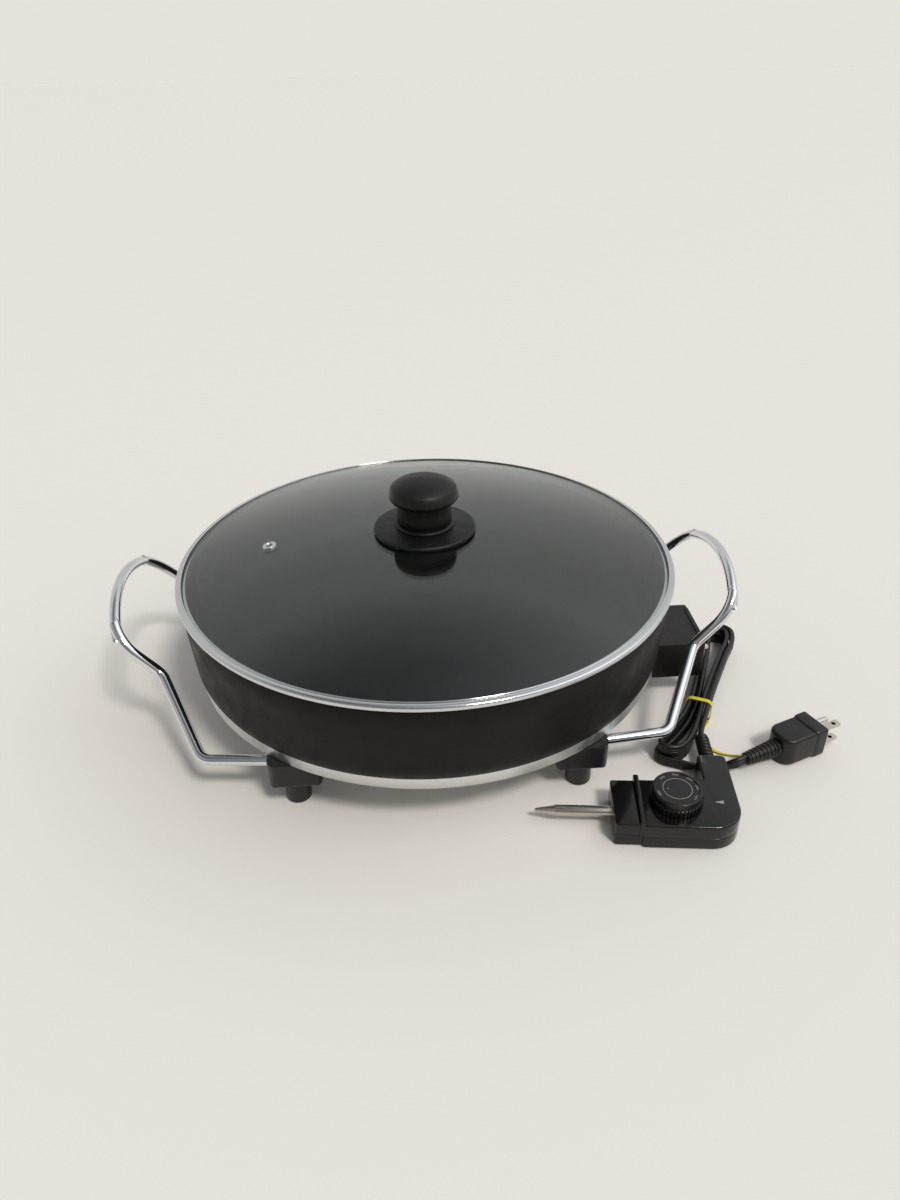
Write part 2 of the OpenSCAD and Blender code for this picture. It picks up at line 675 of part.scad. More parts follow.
// The control's outer form between two heights
module control_form(z0, z1, neck_top, low, up) {
  soft_plate(0, body_x, -neck_w / 2, neck_w / 2, z0, min(z1, neck_top), [2, 2, 2, 2], low > 0 ? 1 : 0, up > 0 ? 1 : 0);
  soft_plate(body_x - 1, body_x1, body_y[0], body_y[1], z0, z1, [3, body_corner, 3, 3], low, up);
  soft_plate(arm_x0, body_x1 + 1, 0, arm_y1, z0, z1, [3, 3, 4, 4], low, up);
}

// The space inside the control between two heights
module control_space(z0, z1) {
  translate([0, 0, z0]) linear_extrude(z1 - z0) {
    plate_outline(body_x + 2, body_x1 - control_t, body_y[0] + control_t, body_y[1] - control_t,
      [2, body_corner - control_t, 2, 2]);
    translate([arm_x0 + control_t, 0]) square([body_x1 + 1 - arm_x0 - 2 * control_t, arm_y1 - control_t]);
  }
}

// Everything that passes through the seam: probe, pins, clips, strain relief and screws
module control_cuts() {
  for (y = [-pin_gap / 2, pin_gap / 2]) {
    rod([-eps, y, control_seam], [clip_x[0] + 1, y, control_seam], pin_d + 0.6);
    rod([clip_x[0], y, control_seam], [clip_x[1], y, control_seam], 2 * clip_r + 2 * seat_gap);
  }
  rod([-eps, 0, control_seam], [body_x + 4, 0, control_seam], probe_d + 2 * seat_gap);
  rod([collar_x, 0, control_seam], [collar_x + 3, 0, control_seam], 2 * collar_r + 2 * seat_gap);
  rod([relief_x, arm_y1 - 6, relief_z], [relief_x, arm_y1 + 1, relief_z], 2 * relief_neck_r + 2 * seat_gap);
}

module control_base() {
  color([0.06, 0.06, 0.065])
    on_control() difference() {
      union() {
        difference() {
          control_form(0, control_seam, neck_h, 1.2, 0);
          control_space(control_t, control_seam + eps);
        }
        for (p = housing_screws)
          translate([p.x, p.y, 0.4]) cylinder(r = 3.4, h = control_seam - 0.4);
      }
      control_cuts();
      for (p = housing_screws)
        translate([p.x, p.y, -eps]) {
          cylinder(d = housing_screw_d + 2 * seat_gap, h = control_h);
          cylinder(r = 2.7, h = 2.6 + eps);
        }
    }
}

module control_top() {
  color([0.06, 0.06, 0.065])
    on_control() difference() {
      union() {
        difference() {
          union() {
            control_form(control_seam, control_h, neck_h, 0, 1.6);
            translate([neck_l, -neck_w / 2 - 1, control_seam])
              cube([rib_l, neck_w + 3.5, control_h + 2 - control_seam]);
          }
          control_space(control_seam - eps, control_h - control_t);
        }
        for (p = housing_screws)
          translate([p.x, p.y, control_seam]) cylinder(r = 3.4, h = control_h - control_seam - 1);
        translate([dial_at.x, dial_at.y, control_seam + 5]) cylinder(r = 6, h = control_h - control_seam - 5.5);
      }
      control_cuts();
      for (p = housing_screws)
        translate([p.x, p.y, 0]) cylinder(d = housing_screw_d + 2 * seat_gap, h = control_seam + 6);
      translate([dial_at.x, dial_at.y, 0]) cylinder(r = shaft_r + run_gap, h = control_h + eps);
    }
}

module control_screws() {
  color([0.7, 0.7, 0.72])
    on_control() for (p = housing_screws)
      translate([p.x, p.y, 0.8]) {
        cylinder(r = 2.6, h = 1.8);
        cylinder(d = housing_screw_d, h = control_seam + 4.5);
      }
}

module temperature_probe() {
  root_r = probe_d / 2 - 0.3;
  color([0.75, 0.73, 0.7])
    on_control() translate([0, 0, control_seam]) rotate([0, 90, 0]) rotate_extrude()
      polygon(concat(
        arc(0, -probe_l + 1.2, 1.2, -90, -20, 5),
        [[probe_d / 2, -probe_l + 13], [probe_d / 2, 0], [root_r, 0], [root_r, collar_x + 0.2],
          [collar_r, collar_x + 0.2], [collar_r, collar_x + 2.8], [root_r, collar_x + 2.8],
          [root_r, body_x + 4], [0, body_x + 4]]));
}

module terminal_clips() {
  color([0.8, 0.65, 0.35])
    on_control() for (y = [-pin_gap / 2, pin_gap / 2])
      difference() {
        rod([clip_x[0] + 0.2, y, control_seam], [clip_x[1], y, control_seam], 2 * clip_r);
        rod([0, y, control_seam], [clip_x[1] + eps, y, control_seam], pin_d + 0.4);
        // Slit that lets the clip spring open
        translate([clip_x[0], y - 0.4, control_seam]) cube([clip_x[1], 0.8, clip_r + 1]);
      }
}

module thermostat_frame() {
  color([0.6, 0.6, 0.58])
    on_control() {
      translate([body_x + 4.5, -6, control_t]) cube([36, 12, 1.2]);
      translate([body_x + 4.1, -6, control_t]) cube([1.4, 12, control_h - 2 * control_t - 0.4]);
      translate([body_x + 34, -5, control_t + 1]) cube([6, 10, 3.2]);
    }
}

module thermostat_blade() {
  color([0.72, 0.6, 0.4])
    on_control() {
      translate([body_x + 12, -3.5, control_t + 4.2]) cube([28, 7, 0.6]);
      translate([body_x + 12, -3.5, control_seam + 0.7]) cube([28, 7, 0.6]);
      translate([body_x + 35, -3.5, control_t + 4.2]) cube([4, 7, control_seam - control_t - 3]);
      translate([body_x + 15, 0, control_t + 4.6]) cylinder(r = 2, h = 1.4);
    }
}

// ---------- dial ----------
module on_dial() {
  on_control() translate([dial_at.x, dial_at.y, 0]) children();
}

module dial() {
  skirt_h = dial_h * 0.5;
  top_r = dial_d / 2 - 1.5;
  color([0.09, 0.09, 0.095])
    on_dial() translate([0, 0, dial_z]) difference() {
      union() {
        linear_extrude(skirt_h) difference() {
          circle(d = dial_d);
          for (i = [0 : dial_grips - 1])
            rotate(i * 360 / dial_grips) translate([dial_d / 2 + 0.3, 0]) circle(r = 0.9, $fn = 24);
        }
        rotate_extrude() polygon(concat([[0, 0], [dial_d / 2 - 1, 0], [dial_d / 2 - 0.9, skirt_h]],
          arc(top_r - 1, dial_h - 1, 1, 0, 90, 4), [[top_r - 1.8, dial_h - 0.6], [0, dial_h - 0.6]]));
      }
      translate([0, 0, -eps]) cylinder(r = shaft_r + seat_gap / 2, h = dial_h - 2.5 + eps);
    }
}

module dial_shaft() {
  color([0.75, 0.75, 0.72])
    on_dial() {
      translate([0, 0, shaft_low]) cylinder(r = shaft_r, h = dial_z + dial_h - 3 - shaft_low);
      translate([0, 0, shaft_low]) cylinder(r = shaft_r + 1.3, h = 1.4);
    }
}

// ---------- strain reliefs ----------
// Ribbed sleeve along +Z: a root of radius r0 that tapers to r1 over length l, with n ribs
function relief_line(r0, r1, l, n) =
  [for (i = [0 : n - 1]) let (a = l * (0.1 + 0.85 * i / n), s = l * 0.85 / n, r = r0 + (r1 - r0) * (i + 0.5) / n)
    for (p = [[r, a], [r, a + s * 0.6], [r - 0.7, a + s * 0.66], [r - 0.7, a + s * 0.94]]) p];

module cord_relief() {
  color([0.07, 0.07, 0.07])
    on_control() translate([relief_x, arm_y1, relief_z]) rotate([-90, 0, 0]) rotate_extrude()
      polygon(concat([[0, -4.4], [5.6, -4.4], [5.6, -2.4], [relief_neck_r, -2.4], [relief_neck_r, 0.3], [5.3, 0.3]],
        relief_line(5.2, 4.7, relief_l, 7), [[4.5, relief_l], [0, relief_l]]));
}

plug_at = [132.5, 50.6];
plug_turn = 22;
plug_z = plug_h / 2;
plug_relief_l = 28;

// Places a piece of the plug: X towards the blades, origin at the middle of the rear face
module on_plug() {
  beside_pan() translate([plug_at.x, plug_at.y, plug_z]) rotate([0, 0, plug_turn]) children();
}

module plug_relief() {
  color([0.07, 0.07, 0.07])
    on_plug() rotate([0, -90, 0]) rotate_extrude()
      polygon(concat([[0, 0.05], [6.6, 0.05]], relief_line(6.4, 4.9, plug_relief_l, 7),
        [[4.6, plug_relief_l], [0, plug_relief_l]]));
}

blade_y = -5;
pin_y = blade_y + 11.9;
blade_gap = 12.7;
blade_w = 6.35;
blade_t = 1.5;
ground_d = 4.8;
ground_l = 20;

module plug_body() {
  front = 14;
  color([0.07, 0.07, 0.07])
    on_plug() difference() {
      union() {
        translate([0, 0, -plug_h / 2])
          soft_plate(0, plug_l - front + 4, -plug_w / 2 + 3, plug_w / 2 - 3, 1.5, plug_h - 1.5, [8, 3, 3, 8], 2.4, 2.4);
        translate([0, 0, -plug_h / 2])
          soft_plate(plug_l - front, plug_l, -plug_w / 2, plug_w / 2, 0, plug_h, [3, 3, 3, 3], 2.4, 2.4);
      }
      for (z = [-blade_gap / 2, blade_gap / 2])
        translate([plug_l - 10, blade_y - blade_w / 2, z - blade_t / 2]) cube([10 + eps, blade_w, blade_t]);
      rod([plug_l - 10, pin_y, 0], [plug_l + eps, pin_y, 0], ground_d);
    }
}

module plug_blades() {
  color([0.8, 0.78, 0.72])
    on_plug() for (z = [-blade_gap / 2, blade_gap / 2])
      translate([plug_l - 10, blade_y, z - blade_t / 2]) linear_extrude(blade_t) difference() {
        union() {
          translate([0, -blade_w / 2]) square([10 + blade_l - 1.5, blade_w]);
          translate([0, -blade_w / 2 + 1.5]) square([10 + blade_l, blade_w - 3]);
          for (y = [-1, 1])
            translate([10 + blade_l - 1.5, y * (blade_w / 2 - 1.5)]) circle(r = 1.5);
        }
        translate([10 + blade_l - 5, 0]) circle(r = 1.6);
      }
}

module ground_pin() {
  color([0.8, 0.78, 0.72])
    on_plug() translate([plug_l - 10, pin_y, 0]) rotate([0, 90, 0]) rotate_extrude()
      polygon(concat([[0, 0], [ground_d / 2 - 0.2, 0], [ground_d / 2 - 0.2, 10], [ground_d / 2, 10]],
        arc(0, 10 + ground_l - ground_d / 2, ground_d / 2, 0, 90, 5)));
}

// ---------- cord ----------
// Half sections of the flat cord, across its thickness and its height
lead_section = [for (s = [[1, 0.62], [0.55, 1], [-0.55, 1], [-1, 0.62], [-1, -0.62], [-0.55, -1], [0.55, -1], [1, -0.62]])
  [s.x * cord_t / 2, s.y * cord_h / 2]];
hank_section = [for (s = [[1, 0], [0.6, 1], [-0.6, 1], [-1, 0], [-0.6, -1], [0.6, -1]])
  [s.x * cord_t / 2, s.y * cord_h / 2]];

// The flat cord along a path; rolls gives its turn about the path at each point, in degrees
module flat_cord(path, section, rolls) {
  swept(path, section, [for (i = [0 : len(path) - 1])
    let (t = along(path, i), side = unit(cross([0, 0, 1], t))) side * cos(rolls[i]) + cross(t, side) * sin(rolls[i])]);
}

// Points of the cord are measured from the control's place.
// The hank lies along an axis through its tie, with its loops drawn in at the tie
tie_at = [90.5, 103];
hank_turn = 27;
hank_u = [sin(hank_turn), cos(hank_turn), 0];
hank_v = [cos(hank_turn), -sin(hank_turn), 0];
far_u = 104;
near_u = -52;
end_r = 4.8;
waist_r = 1;
near_bend = 8;
layer_z = cord_h + 0.5;
loop_rings = 24;
end_ring = 66;
tie_lift = 0.9;

// Half width of the inmost turn at distance u from the tie
function waist(u) = end_r - (end_r - waist_r) * pow(cos(90 * u / (u > 0 ? far_u : near_u)), 2);
// Place of ring i within its turn: along a run, round the far end, back, round the near end
function hank_uv(i, off) =
  let (k = i % loop_rings)
    k < 3 ? [far_u * k / 3, waist(far_u * k / 3) + off]
    : k < 9 ? let (a = 90 - (k - 3) * 30) [far_u + (end_r + off) * cos(a), (end_r + off) * sin(a)]
    : k < 12 ? let (u = far_u * (12 - k) / 3) [u, -waist(u) - off]
    : k < 15 ? let (u = near_u * (k - 12) / 3) [u, -waist(u) - off]
    : k < 21 ? let (a = -90 - (k - 15) * 30) [near_u + (end_r + off) * cos(a), (end_r + off) * sin(a)]
    : let (u = near_u * (24 - k) / 3) [u, waist(u) + off];
function hank_off(i) = hank_step * abs(i - 36) / loop_rings;
// The upper layer spirals in, goes down along the run of rings 33 to 39, and the lower spirals out
function hank_z(i) = cord_h / 2 + layer_z * (1 - smooth(min(1, max(0, (i - 33) / 6))));
function hank_place(u, v, z) =
  let (bend = u < 0 ? -near_bend * pow(u / near_u, 2) : 0,
    lift = abs(u) < 30 ? tie_lift * pow(cos(3 * u), 2) : 0)
    [tie_at.x, tie_at.y, z + lift] + hank_u * u + hank_v * (v + bend);
hank_turns = [for (i = [0 : end_ring]) let (p = hank_uv(i, hank_off(i))) hank_place(p.x, p.y, hank_z(i))];
hank_first = hank_turns[0] - hank_u * 10;
hank_last = hank_turns[end_ring] + hank_v * 9;
hank_path = concat([hank_first], hank_turns, [hank_last]);

// Least gap between turns, measured from corner to corner of the rings of different turns
hank_points = [for (i = [0 : end_ring])
  let (t = along(hank_turns, i), side = unit(cross([0, 0, 1], t)))
    [for (s = hank_section) hank_turns[i] + side * s.x + [0, 0, s.y]]];
hank_gap = min([for (i = [0 : end_ring - 8]) for (j = [i + 8 : end_ring])
  if (norm(hank_turns[i] - hank_turns[j]) < cord_h * 2)
    min([for (p = hank_points[i]) for (q = hank_points[j]) norm(p - q)])]);
echo(hank_gap = hank_gap);

relief_end = [relief_x * cos(control_turn) - (arm_y1 + relief_l) * sin(control_turn),
  relief_x * sin(control_turn) + (arm_y1 + relief_l) * cos(control_turn), relief_z];
relief_way = [-sin(control_turn), cos(control_turn), 0];
plug_way = [cos(plug_turn), sin(plug_turn), 0];
// Straight start of a lead where it leaves a relief or the hank
lead_stub = 3;
plug_relief_end = [plug_at.x - plug_relief_l * cos(plug_turn), plug_at.y - plug_relief_l * sin(plug_turn), plug_z];
// Points between the strain relief and the hank, and between the hank and the plug
lead_in_route = [[84.6, 73.5, 10.8], [87, 79, 11.8]];
lead_out_route = [[70, 44.6, 4.3], [75, 44, 3.1], [80, 43.8, 2.2], [85.5, 43.2, 3],
  [90.5, 41.2, 5], [95, 39, 8.2], [99.5, 37.8, 11]];
lead_out_rolls = [0, 0, 35, 75, 90, 75, 45, 20, 0, 0, 0];

module cord_lead_in() {
  path = concat([relief_end, relief_end + lead_stub * relief_way], lead_in_route,
    [hank_first - hank_u * lead_stub, hank_first]);
  color([0.08, 0.08, 0.08]) beside_pan() flat_cord(path, lead_section, [for (p = path) 0]);
}

module cord_hank() {
  color([0.08, 0.08, 0.08]) beside_pan() flat_cord(hank_path, hank_section, [for (p = hank_path) 0]);
}

module cord_lead_out() {
  path = concat([hank_last, hank_last + hank_v * lead_stub], lead_out_route,
    [plug_relief_end - plug_way * lead_stub, plug_relief_end]);
  color([0.08, 0.08, 0.08]) beside_pan() flat_cord(path, lead_section, lead_out_rolls);
}

// Yellow strip round the waist of the hank, and its loose end on the table
tie_t = 0.8;
tie_w = 3.6;
tie_route = [[98.5, 97.5], [99, 91], [94, 75], [96, 66], [119, 51]];
module cord_tie() {
  last = len(tie_route) - 1;
  function across(i) = let (t = along(tie_route, i)) [-t.y, t.x] * tie_w / 2;
  left = -(waist_r + hank_step + cord_t / 2 + 0.4);
  right = waist_r + 1.5 * hank_step + cord_t / 2 + 0.4;
  top = cord_h * 1.5 + layer_z - cord_h / 2 + tie_lift + 0.3;
  color([0.85, 0.8, 0.15]) beside_pan() {
    at_frame([tie_at.x, tie_at.y, 0] - hank_u * tie_w / 2, hank_v, [0, 0, 1], hank_u)
      linear_extrude(tie_w) difference() {
        plate_outline(left - tie_t, right + tie_t, 0, top + tie_t, [1.8, 1.8, 1.8, 1.8]);
        plate_outline(left, right, tie_t, top, [1, 1, 1, 1]);
      }
    linear_extrude(tie_t) polygon(concat([for (i = [0 : last]) tie_route[i] + across(i)],
      [for (i = [last : -1 : 0]) tie_route[i] - across(i)]));
  }
}

pan_body();
probe_boss();
heating_element();
terminal_pins();
terminal_insulators();
socket_guard();
guard_screws();
at_corner([-1, -1]) foot();  // foot_front_left
at_corner([1, -1]) foot();  // foot_front_right
at_corner([-1, 1]) foot();  // foot_rear_left
at_corner([1, 1]) foot();  // foot_rear_right
at_corner([-1, -1]) foot_clamp();  // clamp_front_left
at_corner([1, -1]) foot_clamp();  // clamp_front_right
at_corner([-1, 1]) foot_clamp();  // clamp_rear_left
at_corner([1, 1]) foot_clamp();  // clamp_rear_right
foot_screws();
mirror([1, 0, 0]) handle();  // handle_left
handle();  // handle_right
lid_glass();
lid_band();
vent_eyelet();
lid_knob();
knob_disc();
knob_gasket();
knob_screw();
control_top();
control_base();
control_screws();
temperature_probe();
terminal_clips();
thermostat_frame();
thermostat_blade();
dial();
dial_shaft();
cord_relief();
cord_lead_in();
cord_hank();
cord_lead_out();
cord_tie();
plug_relief();
plug_body();
plug_blades();
ground_pin();
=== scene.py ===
# %% [markdown]
# # Finishing a round electric skillet
# The construction comes from a fixed frame: every real piece is a node with its true size and place.
# This lesson gives the pieces their finish. It starts with the camera and the cord, because they decide
# how much room the picture takes, then goes round the skillet piece by piece: pan, feet, handles, lid,
# knob, socket guard, heat control. The table, the light and the tests come last.

import json
from math import acos, atan2, ceil, cos, pi, radians, sin, sqrt, tan

import bmesh
import bpy
from mathutils import Matrix, Vector

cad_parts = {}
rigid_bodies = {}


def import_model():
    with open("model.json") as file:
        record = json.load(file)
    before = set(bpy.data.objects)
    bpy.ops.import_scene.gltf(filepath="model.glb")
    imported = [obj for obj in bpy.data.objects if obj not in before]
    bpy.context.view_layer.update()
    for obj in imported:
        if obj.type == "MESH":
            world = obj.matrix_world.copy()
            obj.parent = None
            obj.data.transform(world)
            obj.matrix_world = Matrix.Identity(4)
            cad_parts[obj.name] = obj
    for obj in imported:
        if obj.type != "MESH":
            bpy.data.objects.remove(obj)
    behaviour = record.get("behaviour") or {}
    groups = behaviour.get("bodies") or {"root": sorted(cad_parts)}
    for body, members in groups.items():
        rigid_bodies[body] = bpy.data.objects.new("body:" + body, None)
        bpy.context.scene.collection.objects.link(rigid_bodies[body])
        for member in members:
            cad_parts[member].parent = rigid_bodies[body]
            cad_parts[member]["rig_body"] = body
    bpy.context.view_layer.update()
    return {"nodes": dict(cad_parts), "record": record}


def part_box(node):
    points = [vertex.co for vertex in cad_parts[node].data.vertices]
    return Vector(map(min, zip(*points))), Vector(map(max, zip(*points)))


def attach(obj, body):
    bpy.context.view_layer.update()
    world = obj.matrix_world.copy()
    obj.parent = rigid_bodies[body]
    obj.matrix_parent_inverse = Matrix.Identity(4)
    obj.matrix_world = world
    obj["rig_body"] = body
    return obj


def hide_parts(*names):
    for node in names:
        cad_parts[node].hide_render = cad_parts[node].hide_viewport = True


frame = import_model()
mounts = {m["name"]: m for m in frame["record"]["mounts"]}
MM = 0.001

# %% [markdown]
# ## The camera
# The photograph was taken with a phone held upright. Its place was found from the lid's round band, which
# shows as an ellipse, and from the table. A camera is set by where it stands, where it looks and how far it
# leans sideways. The focal length is given in pixels of the 900 x 1200 picture and turned to millimetres.

# %% Camera
IMAGE_H = 1200
FOCAL_PX = 901
SENSOR_MM = 36
EYE = Vector((-0.0203, -0.6147, 0.4551))
LOOK = Vector((0.0533, 0.8473, -0.5284)).normalized()
LEAN = radians(-1.038)

level_x = LOOK.cross(Vector((0, 0, 1))).normalized()
level_y = level_x.cross(LOOK)
camera_x = level_x * cos(LEAN) + level_y * sin(LEAN)
camera_y = level_y * cos(LEAN) - level_x * sin(LEAN)
camera = bpy.data.objects.new("camera", bpy.data.cameras.new("camera"))
camera.data.sensor_width = SENSOR_MM
camera.data.lens = SENSOR_MM * FOCAL_PX / IMAGE_H
turned_axes = Matrix((camera_x, camera_y, -LOOK)).transposed().to_4x4()
camera.matrix_world = Matrix.Translation(EYE) @ turned_axes
bpy.context.collection.objects.link(camera)
bpy.context.scene.camera = camera
print("camera: lens", round(camera.data.lens, 2), "mm")

# %% [markdown]
# ## Materials from nodes
# Each finish is a small tree of nodes round one Principled shader. Colours are written as the hex values
# a screen would show, so one function turns them to the linear values that light is worked out with.
# One more function adds a node, sets it and links it, for shader trees and geometry trees alike.

# %% Colours and nodes
def linear(colour):
    """An sRGB hex colour as linear red, green, blue and alpha."""
    parts = [int(colour[i:i + 2], 16) / 255 for i in (1, 3, 5)]
    return [c / 12.92 if c <= 0.04045 else ((c + 0.055) / 1.055) ** 2.4 for c in parts] + [1]


def add(tree, kind, inputs=None, **settings):
    """Adds a node. An input is a plain value, or the socket that feeds it."""
    node = tree.nodes.new(kind)
    for key, value in settings.items():
        setattr(node, key, value)
    for key, value in (inputs or {}).items():
        if isinstance(value, bpy.types.NodeSocket):
            tree.links.new(value, node.inputs[key])
        else:
            node.inputs[key].default_value = value
    return node


def surface(name, colour, roughness, **more):
    """A material with one Principled shader. Returns the material, its tree and the shader."""
    made = bpy.data.materials.new(name)
    made.use_nodes = True
    tree = made.node_tree
    tree.nodes.clear()
    values = {"Base Color": linear(colour), "Roughness": roughness}
    values.update({key.replace("_", " "): value for key, value in more.items()})
    shader = add(tree, "ShaderNodeBsdfPrincipled", values)
    add(tree, "ShaderNodeOutputMaterial", {"Surface": shader.outputs[0]})
    return made, tree, shader


def place_on(tree):
    return add(tree, "ShaderNodeTexCoord").outputs["Object"]


def raised(tree, shader, noise, depth_mm):
    """Turns a noise into bumps depth_mm high. Returns the noise."""
    bump = add(tree, "ShaderNodeBump", {"Height": noise.outputs["Fac"], "Distance": depth_mm * MM})
    tree.links.new(bump.outputs["Normal"], shader.inputs["Normal"])
    return noise


def grained(tree, shader, size_mm, depth_mm, detail=2.0):
    """A fine moulded or sprayed grain: bumps size_mm apart and depth_mm high. Returns the noise."""
    noise = add(tree, "ShaderNodeTexNoise", {"Vector": place_on(tree), "Scale": 1 / (size_mm * MM),
                                             "Detail": detail})
    return raised(tree, shader, noise, depth_mm)


def varied(tree, shader, low, high, size_mm):
    """Lets the roughness wander between low and high in patches size_mm wide."""
    noise = add(tree, "ShaderNodeTexNoise", {"Vector": place_on(tree), "Scale": 1 / (size_mm * MM),
                                             "Detail": 3})
    level = add(tree, "ShaderNodeMapRange", {"Value": noise.outputs["Fac"], "From Min": 0.35,
                                             "From Max": 0.65, "To Min": low, "To Max": high})
    tree.links.new(level.outputs["Result"], shader.inputs["Roughness"])


def finish(name, colour, roughness, grain=None, patches=None, **more):
    """A material with a grain of (size, depth) and patches of roughness of (low, high, size)."""
    material, tree, shader = surface(name, colour, roughness, **more)
    if grain:
        grained(tree, shader, *grain)
    if patches:
        varied(tree, shader, *patches)
    return material


# PVC cord jacket: extruded and a little dull, with a soft sheen along each rib
cord_rubber = finish("cord_pvc_extruded", "#0f0f0f", 0.4, (0.5, 0.02))
# Moulded PVC of plug and sleeves: the mould's fine spark finish
plug_rubber = finish("plug_pvc_moulded", "#0e0e0e", 0.38, (0.35, 0.02), (0.32, 0.48, 9))
# Plastic-coated wire strip: glossy, and light shines into its thin edge
tie_plastic = finish("tie_strip_pvc", "#d8cc1e", 0.32, (1.2, 0.03), Subsurface_Weight=0.15,
                     Subsurface_Radius=[0.002, 0.0016, 0.0004])
# Nickel-plated brass of blades and pins: bright, with fine stamping lines
nickel = finish("nickel_plated_brass", "#d2cdc2", 0.22, (0.4, 0.006), (0.16, 0.3, 3), Metallic=1)
print("materials for the cord:", len(bpy.data.materials))

# %% [markdown]
# ## Making pieces
# A piece is a mesh in place, with its object at the origin. A small set of helpers makes most of the
# skillet: a ring-by-ring loft, a lathe for turned pieces, and rounded outlines for moulded ones. Doubles
# are merged so that poles and seams close, and then the faces are turned outwards.

# %% Helpers for pieces
def lofted(rings, close_ends=True):
    """Vertices and faces of rings joined one to the next, each ring a closed loop of equal length."""
    n = len(rings[0])
    points = [p for ring in rings for p in ring]
    faces = [(i * n + j, i * n + (j + 1) % n, (i + 1) * n + (j + 1) % n, (i + 1) * n + j)
             for i in range(len(rings) - 1) for j in range(n)]
    if close_ends:
        faces += [tuple(range(n)), tuple(range((len(rings) - 1) * n, len(rings) * n))]
    return points, faces


def lathe(profile, steps=192):
    """Turns a closed outline of (radius, height) points, in mm, about the Z axis."""
    turns = [2 * pi * k / steps for k in range(steps)]
    rings = [[Vector((r * cos(a), r * sin(a), z)) * MM for a in turns] for r, z in [*profile, profile[0]]]
    return lofted(rings, close_ends=False)


def bend(cx, cz, r, start, end, steps=8):
    """Points of an arc in an outline, from one angle to the other, in degrees."""
    angles = [radians(start + (end - start) * k / steps) for k in range(steps + 1)]
    return [(cx + r * cos(a), cz + r * sin(a)) for a in angles]


def rounded(corners, inset=0.0, steps=10):
    """A closed outline with round corners, given as (x, y, radius) anticlockwise, moved inwards by inset."""
    points = [Vector(c[:2]) for c in corners]
    ways = [(points[(i + 1) % len(points)] - p).normalized() for i, p in enumerate(points)]
    outline = []
    for i, point in enumerate(points):
        a, b = ways[i - 1], ways[i]
        side_a, side_b = Vector((-a.y, a.x)), Vector((-b.y, b.x))
        turn = atan2(a.x * b.y - a.y * b.x, a.dot(b))
        bulge = 1 if turn > 0 else -1
        radius = max(corners[i][2] - bulge * inset, 0.02)
        corner = point + (side_a + side_b) * (inset / (1 + side_a.dot(side_b)))
        start = corner - a * (radius * tan(abs(turn) / 2))
        centre = start + side_a * (bulge * radius)
        arm = start - centre
        for k in range(steps + 1):
            t = turn * k / steps
            spun = Vector((arm.x * cos(t) - arm.y * sin(t), arm.x * sin(t) + arm.y * cos(t)))
            outline.append(centre + spun)
    return outline


def moulded(corners, levels, steps=10):
    """A moulded block: the rounded outline at each (height, inset) level, in mm."""
    return lofted([[Vector((p.x, p.y, z)) * MM for p in rounded(corners, inset, steps)]
                   for z, inset in levels])


def soft_levels(z0, z1, low, up, steps=5):
    """Levels of a block whose lower edge is rounded to low and upper edge to up."""
    bottom = [(z0 + low * (1 - cos(pi / 2 * k / steps)), low * (1 - sin(pi / 2 * k / steps)))
              for k in range(steps + 1)] if low else [(z0, 0)]
    top = [(z1 - up * (1 - sin(pi / 2 * k / steps)), up * (1 - cos(pi / 2 * k / steps)))
           for k in range(steps + 1)] if up else [(z1, 0)]
    return bottom + top


def joined(*parts):
    """Several lots of vertices and faces as one."""
    points, faces = [], []
    for some_points, some_faces in parts:
        faces += [tuple(i + len(points) for i in face) for face in some_faces]
        points += some_points
    return points, faces


def settled(mesh, sharp=38):
    """Merges doubles, turns faces outwards, and shades the mesh smooth but for edges over the angle."""
    bm = bmesh.new()
    bm.from_mesh(mesh)
    bmesh.ops.remove_doubles(bm, verts=bm.verts, dist=0.002 * MM)
    bmesh.ops.dissolve_degenerate(bm, edges=bm.edges, dist=0.001 * MM)
    bmesh.ops.recalc_face_normals(bm, faces=bm.faces)
    bm.to_mesh(mesh)
    bm.free()
    mesh.shade_smooth()
    mesh.set_sharp_from_angle(angle=radians(sharp))
    return mesh


def made(name, parts, place=None, sharp=38):
    """A settled mesh from vertices and faces, moved to its place."""
    mesh = bpy.data.meshes.new(name)
    mesh.from_pydata([tuple(p) for p in parts[0]], [], parts[1])
    if place:
        mesh.transform(place)
    return settled(mesh, sharp)


def piece(name, mesh, materials, body, nodes=(), place=None, sharp=38):
    """Puts a mesh, or vertices and faces, into the scene as a piece that rides on a body."""
    if isinstance(mesh, tuple):
        mesh = made(name, mesh, place, sharp)
    thing = bpy.data.objects.new(name, mesh)
    mesh.materials.clear()
    for material in materials if isinstance(materials, list) else [materials]:
        mesh.materials.append(material)
    bpy.context.collection.objects.link(thing)
    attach(thing, body)
    if nodes:
        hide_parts(*nodes)
    print(f"{name}: {len(mesh.polygons)} faces on {body}")
    return thing


def merged(name, *meshes):
    """One mesh from several settled ones."""
    bm = bmesh.new()
    for mesh in meshes:
        bm.from_mesh(mesh)
    whole = bpy.data.meshes.new(name)
    bm.to_mesh(whole)
    bm.free()
    return whole


# %% [markdown]
# ## Where the loose things lie
# The control and the plug lie on the table, turned by a few degrees. The frame's mounts say where: the
# probe's mount gives the control's axis, and the earth pin's mount gives the plug's.

# %% Frames of the control and the plug
def standing_frame(origin, x_axis):
    """A matrix with its X along x_axis and its Z upright."""
    x = Vector(x_axis).normalized()
    y = Vector((0, 0, 1)).cross(x)
    return Matrix.Translation(origin) @ Matrix((x, y, Vector((0, 0, 1)))).transposed().to_4x4()


